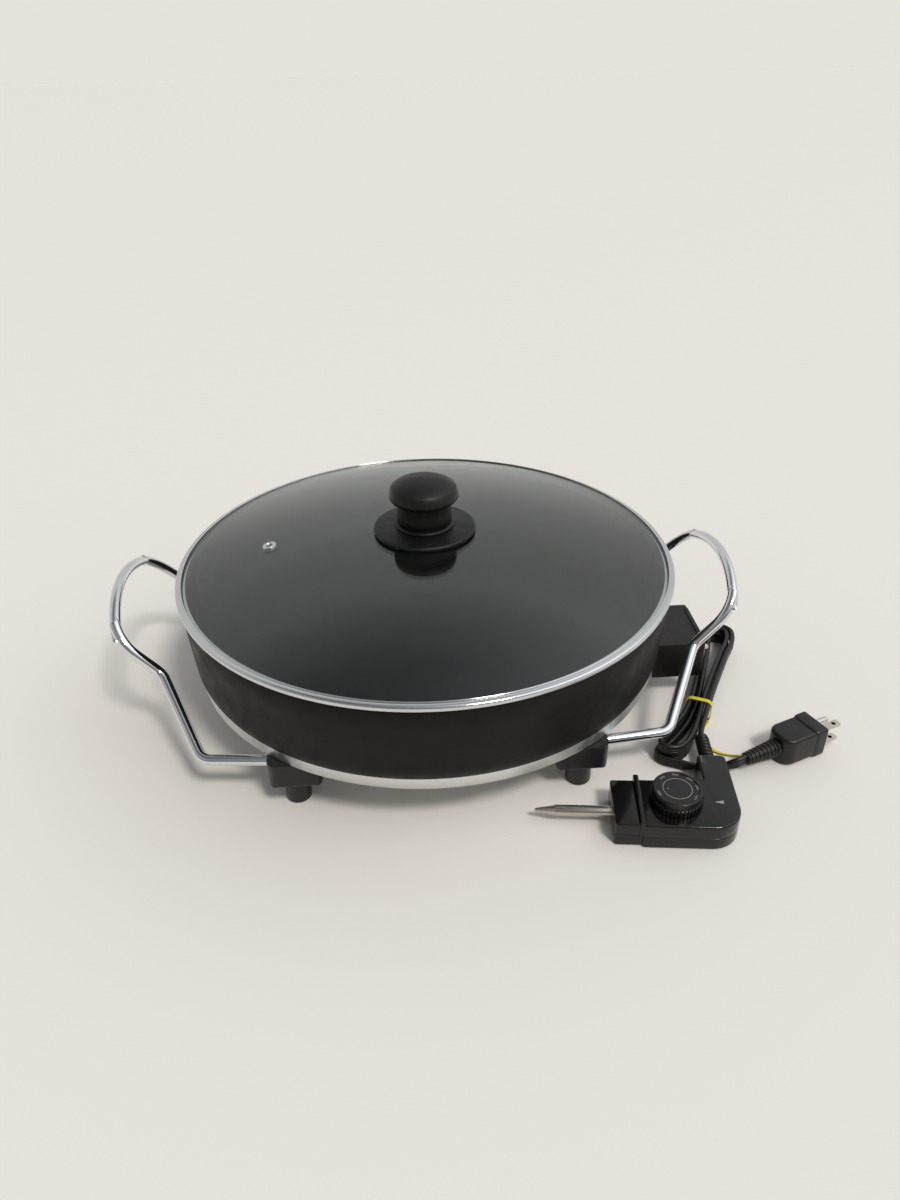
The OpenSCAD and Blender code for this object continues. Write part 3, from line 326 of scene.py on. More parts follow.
SHANK_MID = Vector((-19.5, 0, 9.5)) * MM
GROUND_PIN_MID = Vector((46.8, 6.9, 0)) * MM
shank, earth = mounts["probe_shank"], mounts["plug_ground_pin"]
control = standing_frame(shank["pos_m"], -Vector(shank["axis"])) @ Matrix.Translation(-SHANK_MID)
plug = standing_frame(earth["pos_m"], earth["axis"]) @ Matrix.Translation(-GROUND_PIN_MID)
for label, matrix in {"control": control, "plug": plug}.items():
    print(label, "at", [round(v, 4) for v in matrix.translation])

# %% [markdown]
# ## The cord's route
# The mains lead is a flat cord of three ribs, 8.4 mm wide, standing on edge. It leaves the control's
# strain relief, is folded into a hank under a tie strip, and ends in a grounded plug. The hank's turns
# spiral inwards on the upper layer, climb down, and spiral out again below, so each ring of the route is
# worked out from its number. The two leads follow listed points, in mm from the control's place.

# %% The cord's route
CORD_W, CORD_T = 8.4, 4.0
TIE_AT = Vector((90.5, 103, 0))
HANK_TURN = radians(27)
HANK_U = Vector((sin(HANK_TURN), cos(HANK_TURN), 0))
HANK_V = Vector((cos(HANK_TURN), -sin(HANK_TURN), 0))
FAR_U, NEAR_U = 104, -52
END_R, WAIST_R, NEAR_BEND = 4.8, 1.0, 8.0
HANK_STEP, LAYER_Z, TIE_LIFT, FLOOR_GAP = 4.8, 8.9, 0.9, 0.12
LOOP_RINGS, LAST_RING = 24, 66
RELIEF_AT, RELIEF_L = Vector((74, 48, 10.5)), 29
PLUG_RELIEF_L = 28
STUB = 3
LEAD_IN = [(84.6, 73.5, 10.8), (87, 79, 11.8)]
LEAD_OUT = [(70, 44.6, 4.3), (75, 44, 3.3), (80, 43.8, 2.5), (85.5, 43.2, 3.2), (90.5, 41.2, 5),
            (95, 39, 8.2), (99.5, 37.8, 11)]
LEAD_OUT_ROLLS = [0, 0, 35, 75, 90, 75, 45, 20, 0, 0, 0]


def waist(u):
    return END_R - (END_R - WAIST_R) * cos(pi / 2 * u / (FAR_U if u > 0 else NEAR_U)) ** 2


def hank_ring(i):
    """Place of ring i of the hank, in mm from the control's place."""
    k, off = i % LOOP_RINGS, HANK_STEP * abs(i - 36) / LOOP_RINGS
    if k < 3:
        u, v = FAR_U * k / 3, waist(FAR_U * k / 3) + off
    elif k < 9:
        a = radians(90 - (k - 3) * 30)
        u, v = FAR_U + (END_R + off) * cos(a), (END_R + off) * sin(a)
    elif k < 12:
        u, v = FAR_U * (12 - k) / 3, -waist(FAR_U * (12 - k) / 3) - off
    elif k < 15:
        u, v = NEAR_U * (k - 12) / 3, -waist(NEAR_U * (k - 12) / 3) - off
    elif k < 21:
        a = radians(-90 - (k - 15) * 30)
        u, v = NEAR_U + (END_R + off) * cos(a), (END_R + off) * sin(a)
    else:
        u, v = NEAR_U * (24 - k) / 3, waist(NEAR_U * (24 - k) / 3) + off
    t = min(1, max(0, (i - 33) / 6))
    z = CORD_W / 2 + FLOOR_GAP + LAYER_Z * (1 - t * t * (3 - 2 * t))
    z += TIE_LIFT * cos(radians(3 * u)) ** 2 if abs(u) < 30 else 0
    v -= NEAR_BEND * (u / NEAR_U) ** 2 if u < 0 else 0
    return TIE_AT + HANK_U * u + HANK_V * v + Vector((0, 0, z))


def eased(points, values, step):
    """A smooth curve through the points, each stretch cut to pieces about step long, with its values."""
    ways = [points[i + 1] - points[i] for i in range(len(points) - 1)]
    spans = [w.length for w in ways]
    heads = [ways[0].normalized()]
    for i in range(1, len(ways)):
        heads.append((ways[i - 1] / spans[i - 1] * spans[i] + ways[i] / spans[i] * spans[i - 1]).normalized())
    heads.append(ways[-1].normalized())
    curve, along = [points[0]], [values[0]]
    for i, span in enumerate(spans):
        pieces = max(1, ceil(span / step))
        for k in range(1, pieces + 1):
            t = k / pieces
            p = points[i] * (2 * t ** 3 - 3 * t * t + 1) + points[i + 1] * (3 * t * t - 2 * t ** 3)
            p += heads[i] * span * (t ** 3 - 2 * t * t + t) + heads[i + 1] * span * (t ** 3 - t * t)
            curve.append(p)
            along.append(values[i] + (values[i + 1] - values[i]) * t)
    return curve, along


def turned(matrix, vector):
    return (matrix.to_3x3() @ Vector(vector)).normalized()


control_mm = Matrix.Translation(-control.translation) @ control
relief_way, plug_way = turned(control, (0, 1, 0)), turned(plug, (1, 0, 0))
relief_end = control_mm.to_3x3() @ (RELIEF_AT + Vector((0, RELIEF_L, 0)))
plug_end = (plug.translation - control.translation) / MM - plug_way * PLUG_RELIEF_L
plug_end.z = plug.translation.z / MM
rings = [hank_ring(i) for i in range(LAST_RING + 1)]
first, last = rings[0] - HANK_U * 10, rings[-1] + HANK_V * 9
lead_in = [relief_end, relief_end + relief_way * STUB, *map(Vector, LEAD_IN), first - HANK_U * STUB, first]
lead_out = [last, last + HANK_V * STUB, *map(Vector, LEAD_OUT), plug_end - plug_way * STUB, plug_end]
route = lead_in + rings + lead_out
rolls = [0] * (len(lead_in) + len(rings)) + LEAD_OUT_ROLLS
route, rolls = eased(route, rolls, 2.5)

# %% [markdown]
# ## The flat cord
# Three round conductors lie side by side under one jacket, so the section is three arcs with a groove
# between each pair. The section is carried along the route, upright, and rolled flat where the lead
# crosses the table on its way to the plug.

# %% The flat cord
RIB_STEP, GROOVE = 2.2, 1.28


def cord_section():
    """The jacket's outline: across its thickness, and across its width."""
    side = bend(0, -RIB_STEP, CORD_T / 2, -90, 30, 5) + [(GROOVE, -RIB_STEP / 2)]
    side += bend(0, 0, CORD_T / 2, -30, 30, 4) + [(GROOVE, RIB_STEP / 2)]
    side += bend(0, RIB_STEP, CORD_T / 2, -30, 90, 5)
    return side + [(-x, y) for x, y in side[-2:0:-1]]


def carried(path, section, rolls):
    """Rings of a section along a path, upright but for its rolls."""
    made_rings = []
    for i, p in enumerate(path):
        t = (path[min(i + 1, len(path) - 1)] - path[max(i - 1, 0)]).normalized()
        level = Vector((0, 0, 1)).cross(t).normalized()
        roll = radians(rolls[i])
        across = level * cos(roll) + t.cross(level) * sin(roll)
        over = t.cross(across)
        made_rings.append([p + across * x + over * y for x, y in section])
    return made_rings


cord_place = Matrix.Translation(Vector((control.translation.x, control.translation.y, 0)))
cord_rings = [[p * MM for p in ring] for ring in carried(route, cord_section(), rolls)]
flat_cord = piece("flat_cord", lofted(cord_rings), cord_rubber, "control",
                  ["cord_lead_in", "cord_hank", "cord_lead_out"], cord_place, 60)

# %% [markdown]
# ## The tie strip
# A yellow plastic-coated strip holds the hank at its waist, and its loose end lies on the table towards
# the plug. It is a thin flat section, first round the bundle as a closed band, then along the tail.

# %% The tie strip
TIE_T, TIE_W = 0.8, 3.6
TIE_BOX = (-8.9, 11.3, 0.05, 19.2)
TIE_TAIL = [(98.5, 97.5, 0.6), (90, 86, 0.5), (88, 72, 0.5), (95, 61, 1.1), (107, 55, 1.9), (119, 51, 2.4)]


def band_ring(inset, along):
    """The band's outline round the bundle, moved inwards, at a distance along the hank."""
    v0, v1, z0, z1 = TIE_BOX
    outline = rounded([(v0, z0, 4), (v1, z0, 4), (v1, z1, 5), (v0, z1, 5)], inset, 8)
    return [(TIE_AT + HANK_V * p.x + HANK_U * along + Vector((0, 0, p.y))) * MM for p in outline]


edge = TIE_T / 4
half_w = TIE_W / 2
band_levels = [(0, -half_w + edge), (0, half_w - edge), (edge, half_w), (TIE_T - edge, half_w),
               (TIE_T, half_w - edge), (TIE_T, -half_w + edge), (TIE_T - edge, -half_w), (edge, -half_w)]
band_rings = [band_ring(*level) for level in band_levels + band_levels[:1]]
tail_path, tail_rolls = eased([Vector(p) for p in TIE_TAIL], [90, 90, 90, 70, 35, 25], 1.5)
TAIL_CORNERS = [(1, 0.8), (0.6, 1), (-0.6, 1), (-1, 0.8), (-1, -0.8), (-0.6, -1), (0.6, -1), (1, -0.8)]
tail_section = [(x * 0.5 * TIE_T, y * half_w) for x, y in TAIL_CORNERS]
tail_rings = [[p * MM for p in ring] for ring in carried(tail_path, tail_section, tail_rolls)]
tie_shape = joined(lofted(band_rings, False), lofted(tail_rings))
tie_strip = piece("tie_strip", tie_shape, tie_plastic, "control", ["cord_tie"], cord_place, 50)

# %% [markdown]
# ## Ribbed sleeves from Geometry Nodes
# Both strain reliefs are tapered cores with a row of rings. Rings in a row are a rule, so a node tree
# makes them: a line of points, a ring on each, smaller towards the tip, all turned into one real mesh.
# A modifier's input is set by the socket's identifier, and the result is baked to a plain mesh.

# %% A tree that repeats a ring along a line
def geometry_tree(name, sockets):
    """An empty geometry tree with named inputs, given as {name: (socket type, default)}."""
    tree = bpy.data.node_groups.new(name, "GeometryNodeTree")
    tree.interface.new_socket("Geometry", in_out="INPUT", socket_type="NodeSocketGeometry")
    tree.interface.new_socket("Geometry", in_out="OUTPUT", socket_type="NodeSocketGeometry")
    for label, (kind, default) in sockets.items():
        socket = tree.interface.new_socket(label, in_out="INPUT", socket_type=kind)
        if default is not None:
            socket.default_value = default
    return tree, add(tree, "NodeGroupInput").outputs, add(tree, "NodeGroupOutput")


def ended(tree, given, shape, end):
    """Ends a tree with real geometry in the given material."""
    real = add(tree, "GeometryNodeRealizeInstances", {"Geometry": shape})
    painted = add(tree, "GeometryNodeSetMaterial", {"Geometry": real.outputs[0],
                                                    "Material": given["Material"]})
    tree.links.new(painted.outputs[0], end.inputs[0])
    return tree


def grown(name, tree, values, seed_mesh=None, sharp=38):
    """The plain mesh that a geometry tree makes with these inputs."""
    seed = bpy.data.objects.new(name, seed_mesh or bpy.data.meshes.new(name + "_seed"))
    bpy.context.collection.objects.link(seed)
    modifier = seed.modifiers.new("shape", "NODES")
    modifier.node_group = tree
    for item in tree.interface.items_tree:
        if item.in_out == "INPUT" and item.name in values:
            modifier[item.identifier] = values[item.name]
    seed.update_tag()
    shown = seed.evaluated_get(bpy.context.evaluated_depsgraph_get())
    mesh = bpy.data.meshes.new_from_object(shown)
    bpy.data.objects.remove(seed)
    return settled(mesh, sharp)


FLOAT, WHOLE, STUFF = "NodeSocketFloat", "NodeSocketInt", "NodeSocketMaterial"
ring_row, given, end = geometry_tree("rings_in_a_row", {
    "Count": (WHOLE, 7), "Step": (FLOAT, 0.004), "Start": (FLOAT, 0.003), "Radius": (FLOAT, 0.005),
    "Thickness": (FLOAT, 0.001), "Taper": (FLOAT, 0.85), "Material": (STUFF, None)})
start = add(ring_row, "ShaderNodeCombineXYZ", {"Z": given["Start"]})
step = add(ring_row, "ShaderNodeCombineXYZ", {"Z": given["Step"]})
line = add(ring_row, "GeometryNodeMeshLine", {"Count": given["Count"], "Offset": step.outputs[0],
                                              "Start Location": start.outputs[0]}, mode="OFFSET")
hoop = add(ring_row, "GeometryNodeCurvePrimitiveCircle", {"Resolution": 48,
                                                          "Radius": given["Radius"]})
wire = add(ring_row, "GeometryNodeCurvePrimitiveCircle", {"Resolution": 12,
                                                          "Radius": given["Thickness"]})
ring = add(ring_row, "GeometryNodeCurveToMesh", {"Curve": hoop.outputs[0], "Profile Curve": wire.outputs[0]})
index = add(ring_row, "GeometryNodeInputIndex")
size = add(ring_row, "ShaderNodeMapRange", {"Value": index.outputs[0], "From Max": given["Count"],
                                            "To Min": 1.0, "To Max": given["Taper"]})
copies = add(ring_row, "GeometryNodeInstanceOnPoints", {"Points": line.outputs[0], "Scale": size.outputs[0],
                                                        "Instance": ring.outputs[0]})
ended(ring_row, given, copies.outputs[0], end)
RING_T = 1.15


def sleeve(name, length, root, tip, place, nodes):
    """A tapered sleeve along +Z with seven rings, in mm."""
    core = lathe([(0, -4), (root - 1.2, -4), (root - 1.2, 0.2), (root + 0.2, 0.4), (root + 0.2, 2.2),
                  (root - 0.8, 2.8), (tip - 0.7, length - 2), (tip - 0.2, length - 1.6),
                  (tip - 0.2, length - 0.3), (tip - 0.6, length), (0, length)], 48)
    row = grown(name + "_rings", ring_row, {
        "Count": 7, "Step": length * 0.123 * MM, "Start": length * 0.15 * MM, "Thickness": RING_T * MM,
        "Radius": (root - RING_T) * MM, "Taper": (tip - 1.0) / (root - RING_T), "Material": plug_rubber})
    mesh = merged(name, made(name, core), row)
    mesh.transform(place)
    return piece(name, mesh, plug_rubber, "control", nodes)


upright_to_y = Matrix.Rotation(radians(-90), 4, "X")
upright_to_minus_x = Matrix.Rotation(radians(-90), 4, "Y")
control_sleeve = sleeve("cord_sleeve", RELIEF_L, 5.3, 5.0,
                        control @ Matrix.Translation(RELIEF_AT * MM) @ upright_to_y, ["cord_relief"])
plug_sleeve = sleeve("plug_sleeve", PLUG_RELIEF_L, 6.6, 5.0, plug @ upright_to_minus_x, ["plug_relief"])

# %% [markdown]
# ## The plug
# The moulded body has a broad grip with round shoulders and a slightly wider head behind the blades. Each
# half is a rounded outline lifted through levels that shrink near the ends, which rounds the edges as a
# mould does.
# The blades are stamped from sheet, with a hole near the tip and bevelled tips.

# %% The plug's body
PLUG_L, PLUG_W, PLUG_H, HEAD_L = 38, 25, 24, 13
GRIP_W = PLUG_W - 1.2
HEAD_X = PLUG_L - HEAD_L
grip = moulded([(0, -GRIP_W / 2, 9), (HEAD_X, -GRIP_W / 2, 6), (HEAD_X + 3, -GRIP_W / 2, 1),
                (HEAD_X + 3, GRIP_W / 2, 1), (HEAD_X, GRIP_W / 2, 6), (0, GRIP_W / 2, 9)],
               soft_levels(-PLUG_H / 2 + 0.8, PLUG_H / 2 - 0.8, 2.6, 2.6))
head = moulded([(HEAD_X, -PLUG_W / 2, 4.5), (PLUG_L, -PLUG_W / 2, 2), (PLUG_L, PLUG_W / 2, 2),
                (HEAD_X, PLUG_W / 2, 4.5)], soft_levels(-PLUG_H / 2, PLUG_H / 2, 2.2, 2.2))
plug_body = piece("plug_moulding", joined(grip, head), plug_rubber, "control", ["plug_body"],
                  plug)

# %% The plug's blades and earth pin
BLADE_Y, BLADE_W, BLADE_T, BLADE_L, BLADE_GAP = -5, 6.35, 1.5, 17, 12.7
PIN_Y, PIN_R, PIN_L = 6.9, 2.4, 20


def blade(z):
    """One blade with its hole: the outline with the hole joined to it by a slit, as one flat face."""
    x1, half = PLUG_L + BLADE_L, BLADE_W / 2
    outer = rounded([(PLUG_L - 4, -half, 0.1), (x1, -half, 1.6), (x1, half, 1.6), (PLUG_L - 4, half, 0.1)],
                    0, 4)
    hole_x = x1 - 5
    hole = [Vector(p) for p in bend(hole_x, 0, 1.6, 180, -180, 20)]
    loop = outer + [outer[0]] + hole + [hole[0]]
    face_z = [z - BLADE_T / 2, z + BLADE_T / 2]
    rings = [[Vector((p.x, p.y + BLADE_Y, level)) * MM for p in loop] for level in face_z]
    return lofted(rings)


blades = joined(blade(-BLADE_GAP / 2), blade(BLADE_GAP / 2))
earth_pin = lathe([(0, 0), (PIN_R, 0)] + bend(0, PIN_L + 4 - PIN_R, PIN_R, 0, 90, 6), 40)
upright_to_x = Matrix.Rotation(radians(90), 4, "Y")
plug_blades = piece("blades", blades, nickel, "control", ["plug_blades"], plug, 30)
pin_place = plug @ Matrix.Translation(Vector((PLUG_L - 4, PIN_Y, 0)) * MM) @ upright_to_x
plug_pin = piece("earth_pin", earth_pin, nickel, "control", ["ground_pin"], pin_place)

# %% [markdown]
# ## Copies of construction pieces
# Where the construction already has the true shape, a copy of its mesh is merged, so that it can shade
# smoothly, and its edges get a small bevel. No real edge is perfectly sharp, and the bevel is what
# catches the light along it. Flat areas are first merged into single faces, or the bevel would follow
# every loose triangle.

# %% A bevelled copy
def finished_copy(name, node, material, bevel_mm=0.0, sharp=32):
    """A merged, smooth copy of a CAD node, with bevelled edges, that stands for it."""
    source = frame["nodes"][node]
    mesh = bpy.data.meshes.new(name)
    bm = bmesh.new()
    bm.from_mesh(source.data)
    bmesh.ops.remove_doubles(bm, verts=bm.verts, dist=0.01 * MM)
    if bevel_mm:
        bmesh.ops.dissolve_limit(bm, angle_limit=radians(0.5), verts=bm.verts, edges=bm.edges)
    bm.to_mesh(mesh)
    bm.free()
    mesh.shade_smooth()
    mesh.set_sharp_from_angle(angle=radians(sharp))
    thing = piece(name, mesh, material, source["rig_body"], [node])
    if bevel_mm:
        bevel = thing.modifiers.new("edges", "BEVEL")
        bevel.width = bevel_mm * MM
        bevel.segments = 2
        bevel.limit_method = "ANGLE"
        bevel.angle_limit = radians(sharp)
        bevel.harden_normals = True
    return thing


# %% [markdown]
# ## The pan
# The pan is die-cast aluminium with a sprayed non-stick coat: charcoal, finely speckled, neither matt nor
# glossy. The narrow band round its base was machined after coating, so it is bare and pale, with fine
# turning lines. Both finishes sit on one mesh, told apart by where a face lies.

# %% Finishes of the pan
# Sprayed non-stick coat: PTFE with a fine mineral speckle that breaks up its sheen
nonstick, tree, shader = surface("nonstick_coat_sprayed", "#101010", 0.5, IOR=1.28)
speckle = grained(tree, shader, 0.35, 0.002, 3.0)
tone = add(tree, "ShaderNodeMix", {"Factor": speckle.outputs["Fac"]}, data_type="RGBA")
tone.inputs["A"].default_value = linear("#0b0b0b")
tone.inputs["B"].default_value = linear("#171716")
tree.links.new(tone.outputs["Result"], shader.inputs["Base Color"])
varied(tree, shader, 0.42, 0.55, 14)


def lathe_lines(tree, shader, pitch_mm, depth_mm):
    """Fine lines round the Z axis, as a lathe tool leaves: noise read only by radius and height."""
    place = place_on(tree)
    flat = add(tree, "ShaderNodeVectorMath", {0: place, 1: (1, 1, 0)}, operation="MULTIPLY")
    radius = add(tree, "ShaderNodeVectorMath", {0: flat.outputs[0]}, operation="LENGTH")
    height = add(tree, "ShaderNodeSeparateXYZ", {0: place})
    section = add(tree, "ShaderNodeCombineXYZ", {"X": radius.outputs["Value"], "Z": height.outputs["Z"]})
    noise = add(tree, "ShaderNodeTexNoise", {"Vector": section.outputs[0], "Scale": 1 / (pitch_mm * MM),
                                             "Detail": 2})
    return raised(tree, shader, noise, depth_mm)


# Machined aluminium: bare and pale, its turning lines about 0.4 mm apart
bare_aluminium, tree, shader = surface("aluminium_turned", "#eef0ee", 0.38, Metallic=1)
lathe_lines(tree, shader, 0.4, 0.01)
varied(tree, shader, 0.32, 0.46, 6)

# %% The pan
BAND_TOP = 49.05
pan = finished_copy("pan", "pan_body", nonstick, sharp=28)
pan.data.materials.append(bare_aluminium)
for face in pan.data.polygons:
    face.material_index = 1 if face.center.z < BAND_TOP * MM and face.normal.z < 0.3 else 0
finished_copy("boss", "probe_boss", bare_aluminium, bevel_mm=0.3)

# %% [markdown]
# ## Under the pan
# The sheathed heating element sits in a cast ridge and ends in two pins, each through a small ceramic
# insulator. These pieces are seen only through the guard and from below, so copies of the construction
# serve, each with its own finish.

# %% Element, pins and screws
# Steel sheath of the element: oxidised by heat, brownish and dull
sheath = finish("steel_sheath_oxidised", "#6f6a63", 0.5, (0.6, 0.015), (0.4, 0.62, 8), Metallic=1)
# Glazed ceramic of the insulators: off-white and smooth
ceramic = finish("ceramic_glazed", "#ece8dc", 0.22, (2.0, 0.01))
# Zinc-plated steel of the screws: bright grey with a faint yellow cast
zinc = finish("zinc_plated_steel", "#c3c1b9", 0.32, (0.5, 0.01), Metallic=1)
for name, node, material, slot in (
        ("element", "heating_element", sheath, "element_sheath"),
        ("pins", "terminal_pins", nickel, "nickel_contacts"),
        ("insulators", "terminal_insulators", ceramic, "ceramic"),
        ("screws_of_the_guard", "guard_screws", zinc, "zinc_screws"),
        ("screws_of_the_feet", "foot_screws", zinc, "zinc_screws")):
    finished_copy(name, node, material, sharp=32 if node == "heating_element" else 30)


# %% [markdown]
# ## Feet
# Each foot is a phenolic block on a round peg, and a flat clamp above it holds the handle's wire against
# the pan. Phenolic comes from the mould with a satin skin and slightly softened edges.

# %% Feet and clamps
# Compression-moulded phenolic: satin, with a faint cloudiness
phenolic = finish("phenolic_moulded", "#131414", 0.36, (0.6, 0.02), (0.3, 0.46, 7))
for corner in ("front_left", "front_right", "rear_left", "rear_right"):
    finished_copy("foot." + corner, "foot_" + corner, phenolic, bevel_mm=0.5)
    finished_copy("clamp." + corner, "clamp_" + corner, phenolic, bevel_mm=0.6)

# %% [markdown]
# ## Wire handles from Geometry Nodes
# Each handle is one chromed steel wire, 8 mm thick, bent at seven places. The path is a row of corner
# points that carry their own bend radius as an attribute. A tree turns the row into a curve, rounds each
# corner by that radius and sweeps a circle along it.

# %% The wire tree
# Chrome plate over polished steel: a clear mirror, very slightly wavy from polishing
chrome = finish("chrome_plated_steel", "#e4e6e8", 0.06, (7.0, 0.012, 1.0), Metallic=1)

wire_tree, given, end = geometry_tree("bent_wire", {
    "Wire Radius": (FLOAT, 0.004), "Sides": (WHOLE, 24), "Material": (STUFF, None)})
curve = add(wire_tree, "GeometryNodeMeshToCurve", {"Mesh": given["Geometry"]})
radius = add(wire_tree, "GeometryNodeInputNamedAttribute", {"Name": "bend"}, data_type="FLOAT")
fillet = add(wire_tree, "GeometryNodeFilletCurve", {"Curve": curve.outputs[0], "Radius": radius.outputs[0]})
fillet.mode = "POLY"
fillet.inputs["Count"].default_value = 14
circle = add(wire_tree, "GeometryNodeCurvePrimitiveCircle", {"Resolution": given["Sides"],
                                                             "Radius": given["Wire Radius"]})
tube = add(wire_tree, "GeometryNodeCurveToMesh", {"Curve": fillet.outputs[0], "Fill Caps": True,
                                                  "Profile Curve": circle.outputs[0]})
ended(wire_tree, given, tube.outputs[0], end)

# %% The handles
WIRE_R, EYE_R, EYE_T, EYE_HOLE_R, EYE_EDGE = 4.0, 7.0, 4.0, 2.8, 0.4
WIRE_Z = 32.1
foot_at = mounts["foot_face_front_right"]["pos_m"]
FOOT_X, FOOT_Y = foot_at[0] / MM, -foot_at[1] / MM
front_half = [(FOOT_X + 4, -FOOT_Y + 0.6, WIRE_Z, 0), (164.8, -129.5, WIRE_Z, 12), (199.2, -64.7, 60.6, 11.8),
              (227.2, -60.6, 88.7, 34)]
handle_path = front_half + [(243.5, 0, 123.6, 108)] + [(x, -y, z, r) for x, y, z, r in front_half[::-1]]


def handle(name, side, node):
    """One handle, on the side +1 or -1 of the pan."""
    row = bpy.data.meshes.new(name + "_row")
    row.from_pydata([Vector((side * x, y, z)) * MM for x, y, z, r in handle_path],
                    [(i, i + 1) for i in range(len(handle_path) - 1)], [])
    bends = row.attributes.new("bend", "FLOAT", "POINT")
    bends.data.foreach_set("value", [r * MM for x, y, z, r in handle_path])
    values = {"Wire Radius": WIRE_R * MM, "Sides": 28, "Material": chrome}
    eye = lathe([(EYE_HOLE_R, -EYE_T / 2), (EYE_R - EYE_EDGE, -EYE_T / 2), (EYE_R, -EYE_T / 2 + EYE_EDGE),
                 (EYE_R, EYE_T / 2 - EYE_EDGE), (EYE_R - EYE_EDGE, EYE_T / 2), (EYE_HOLE_R, EYE_T / 2)], 40)
    eyes = [made(name + "_eye", eye, Matrix.Translation(Vector((side * FOOT_X, y, WIRE_Z)) * MM))
            for y in (-FOOT_Y, FOOT_Y)]
    mesh = merged(name, grown(name, wire_tree, values, row), *eyes)
    return piece(name, mesh, chrome, "pan", [node])


handle("wire_handle.right", 1, "handle_right")
handle("wire_handle.left", -1, "handle_left")

# %% [markdown]
# ## The lid
# The lid is a shallow dome of tempered glass, 4 mm thick, in a band of polished stainless steel that is
# rolled over its edge. Both are turned pieces. The dome's radius follows from how far it drops between
# its middle and the band, and the glass has an inner and an outer face, so that it refracts as glass does.

# %% The glass
# Soda-lime glass, tempered: clear, with a slight green-grey cast
glass = finish("glass_tempered", "#e9efec", 0.0, IOR=1.5, Transmission_Weight=1)
GLASS_T, BAND_W, DOME_DROP = 4.0, 8.5, 22.0
BAND_R, GLASS_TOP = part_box("lid_band")[1].x / MM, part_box("lid_glass")[1].z / MM
COVER_R = BAND_R - BAND_W
DOME_R = (COVER_R ** 2 + DOME_DROP ** 2) / (2 * DOME_DROP)
DOME_CZ = GLASS_TOP - DOME_R


def glass_z(r, drop=0.0):
    """Height of the glass's outer face at a radius, or of the face drop further in."""
    return DOME_CZ + sqrt((DOME_R - drop) ** 2 - r * r)


FLANGE_R = BAND_R - 4.8
EDGE_R, FACES = FLANGE_R + 1.6, 40
outer = [(EDGE_R * k / FACES, glass_z(EDGE_R * k / FACES)) for k in range(FACES + 1)]
inner = [(EDGE_R * k / FACES, glass_z(EDGE_R * k / FACES, GLASS_T)) for k in range(FACES, -1, -1)]
piece("glass_dome", lathe(outer + inner, 256), glass, "lid", ["lid_glass"])

# %% The steel band
# Stainless steel strip, roll-formed and polished: a mirror with faint lines round it
band_steel, tree, shader = surface("stainless_strip_polished", "#d9dbdc", 0.1, Metallic=1)
lathe_lines(tree, shader, 0.7, 0.006)
LIP_R, LIP_T, LIP_H, RIM_Z = 182.5, 0.6, 6.0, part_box("pan_body")[1].z / MM
low = RIM_Z + 0.3
top = glass_z(BAND_R - 3) + 0.6
GROOVE_GAP = 0.05
edge_top, edge_under = glass_z(EDGE_R) + GROOVE_GAP, glass_z(EDGE_R, GLASS_T) - GROOVE_GAP
band_outline = ([(LIP_R - LIP_T, low - LIP_H), (LIP_R, low - LIP_H), (LIP_R, low + 0.1),
                 (BAND_R - 3.2, low + 0.1)]
                + bend(BAND_R - 1.7, low + 1.5, 1.4, -120, 20, 8) + [(BAND_R - 0.9, low + 2.7)]
                + bend(BAND_R - 1.9, top - 2.2, 1.9, -20, 95, 12)
                + [(FLANGE_R + 1.5, glass_z(FLANGE_R + 1.5) + 0.6),
                   (FLANGE_R + 1.1, glass_z(FLANGE_R + 1.1) + 0.35)]
                + bend(FLANGE_R + 0.5, glass_z(FLANGE_R) + 0.45, 0.5, 60, 190, 7)
                + [(FLANGE_R + 0.1, glass_z(FLANGE_R) + GROOVE_GAP), (EDGE_R + 0.2, edge_top),
                   (EDGE_R + 0.2, edge_under), (LIP_R - LIP_T, glass_z(LIP_R, GLASS_T) - GROOVE_GAP)])
piece("steel_band", lathe(band_outline, 256), band_steel, "lid", ["lid_band"], sharp=50)

# %% The vent
VENT_R, VENT_D, HOLE_D = 119.0, 10.5, 5.0
vent_lean = -acos(sqrt(1 - (VENT_R / DOME_R) ** 2))
vent_place = (Matrix.Translation((0, 0, DOME_CZ * MM)) @ Matrix.Rotation(vent_lean, 4, "Y")
              @ Matrix.Translation((0, 0, DOME_R * MM)))
eyelet = ([(HOLE_D / 2, -5.0), (VENT_D / 2, -5.0), (VENT_D / 2, -4.2), (HOLE_D / 2 + 1, -4.2),
           (HOLE_D / 2 + 1, 0.1), (VENT_D / 2, 0.1)] + bend(VENT_D / 2 - 0.6, 0.45, 0.6, 0, 90, 5)
          + bend(HOLE_D / 2 + 0.9, 0.15, 0.9, 90, 180, 6))
piece("vent", lathe(eyelet, 48), band_steel, "lid", ["vent_eyelet"], vent_place)
print("lid: glass from", round(glass_z(EDGE_R), 1), "to", GLASS_TOP, "mm high")

# %% [markdown]
# ## The knob
# The knob is black phenolic, turned in profile: a wide disc that keeps the hand off the hot glass, a neck
# with a bead and a groove, and a mushroom cap. Its skin is satin, so it shows soft highlights only.

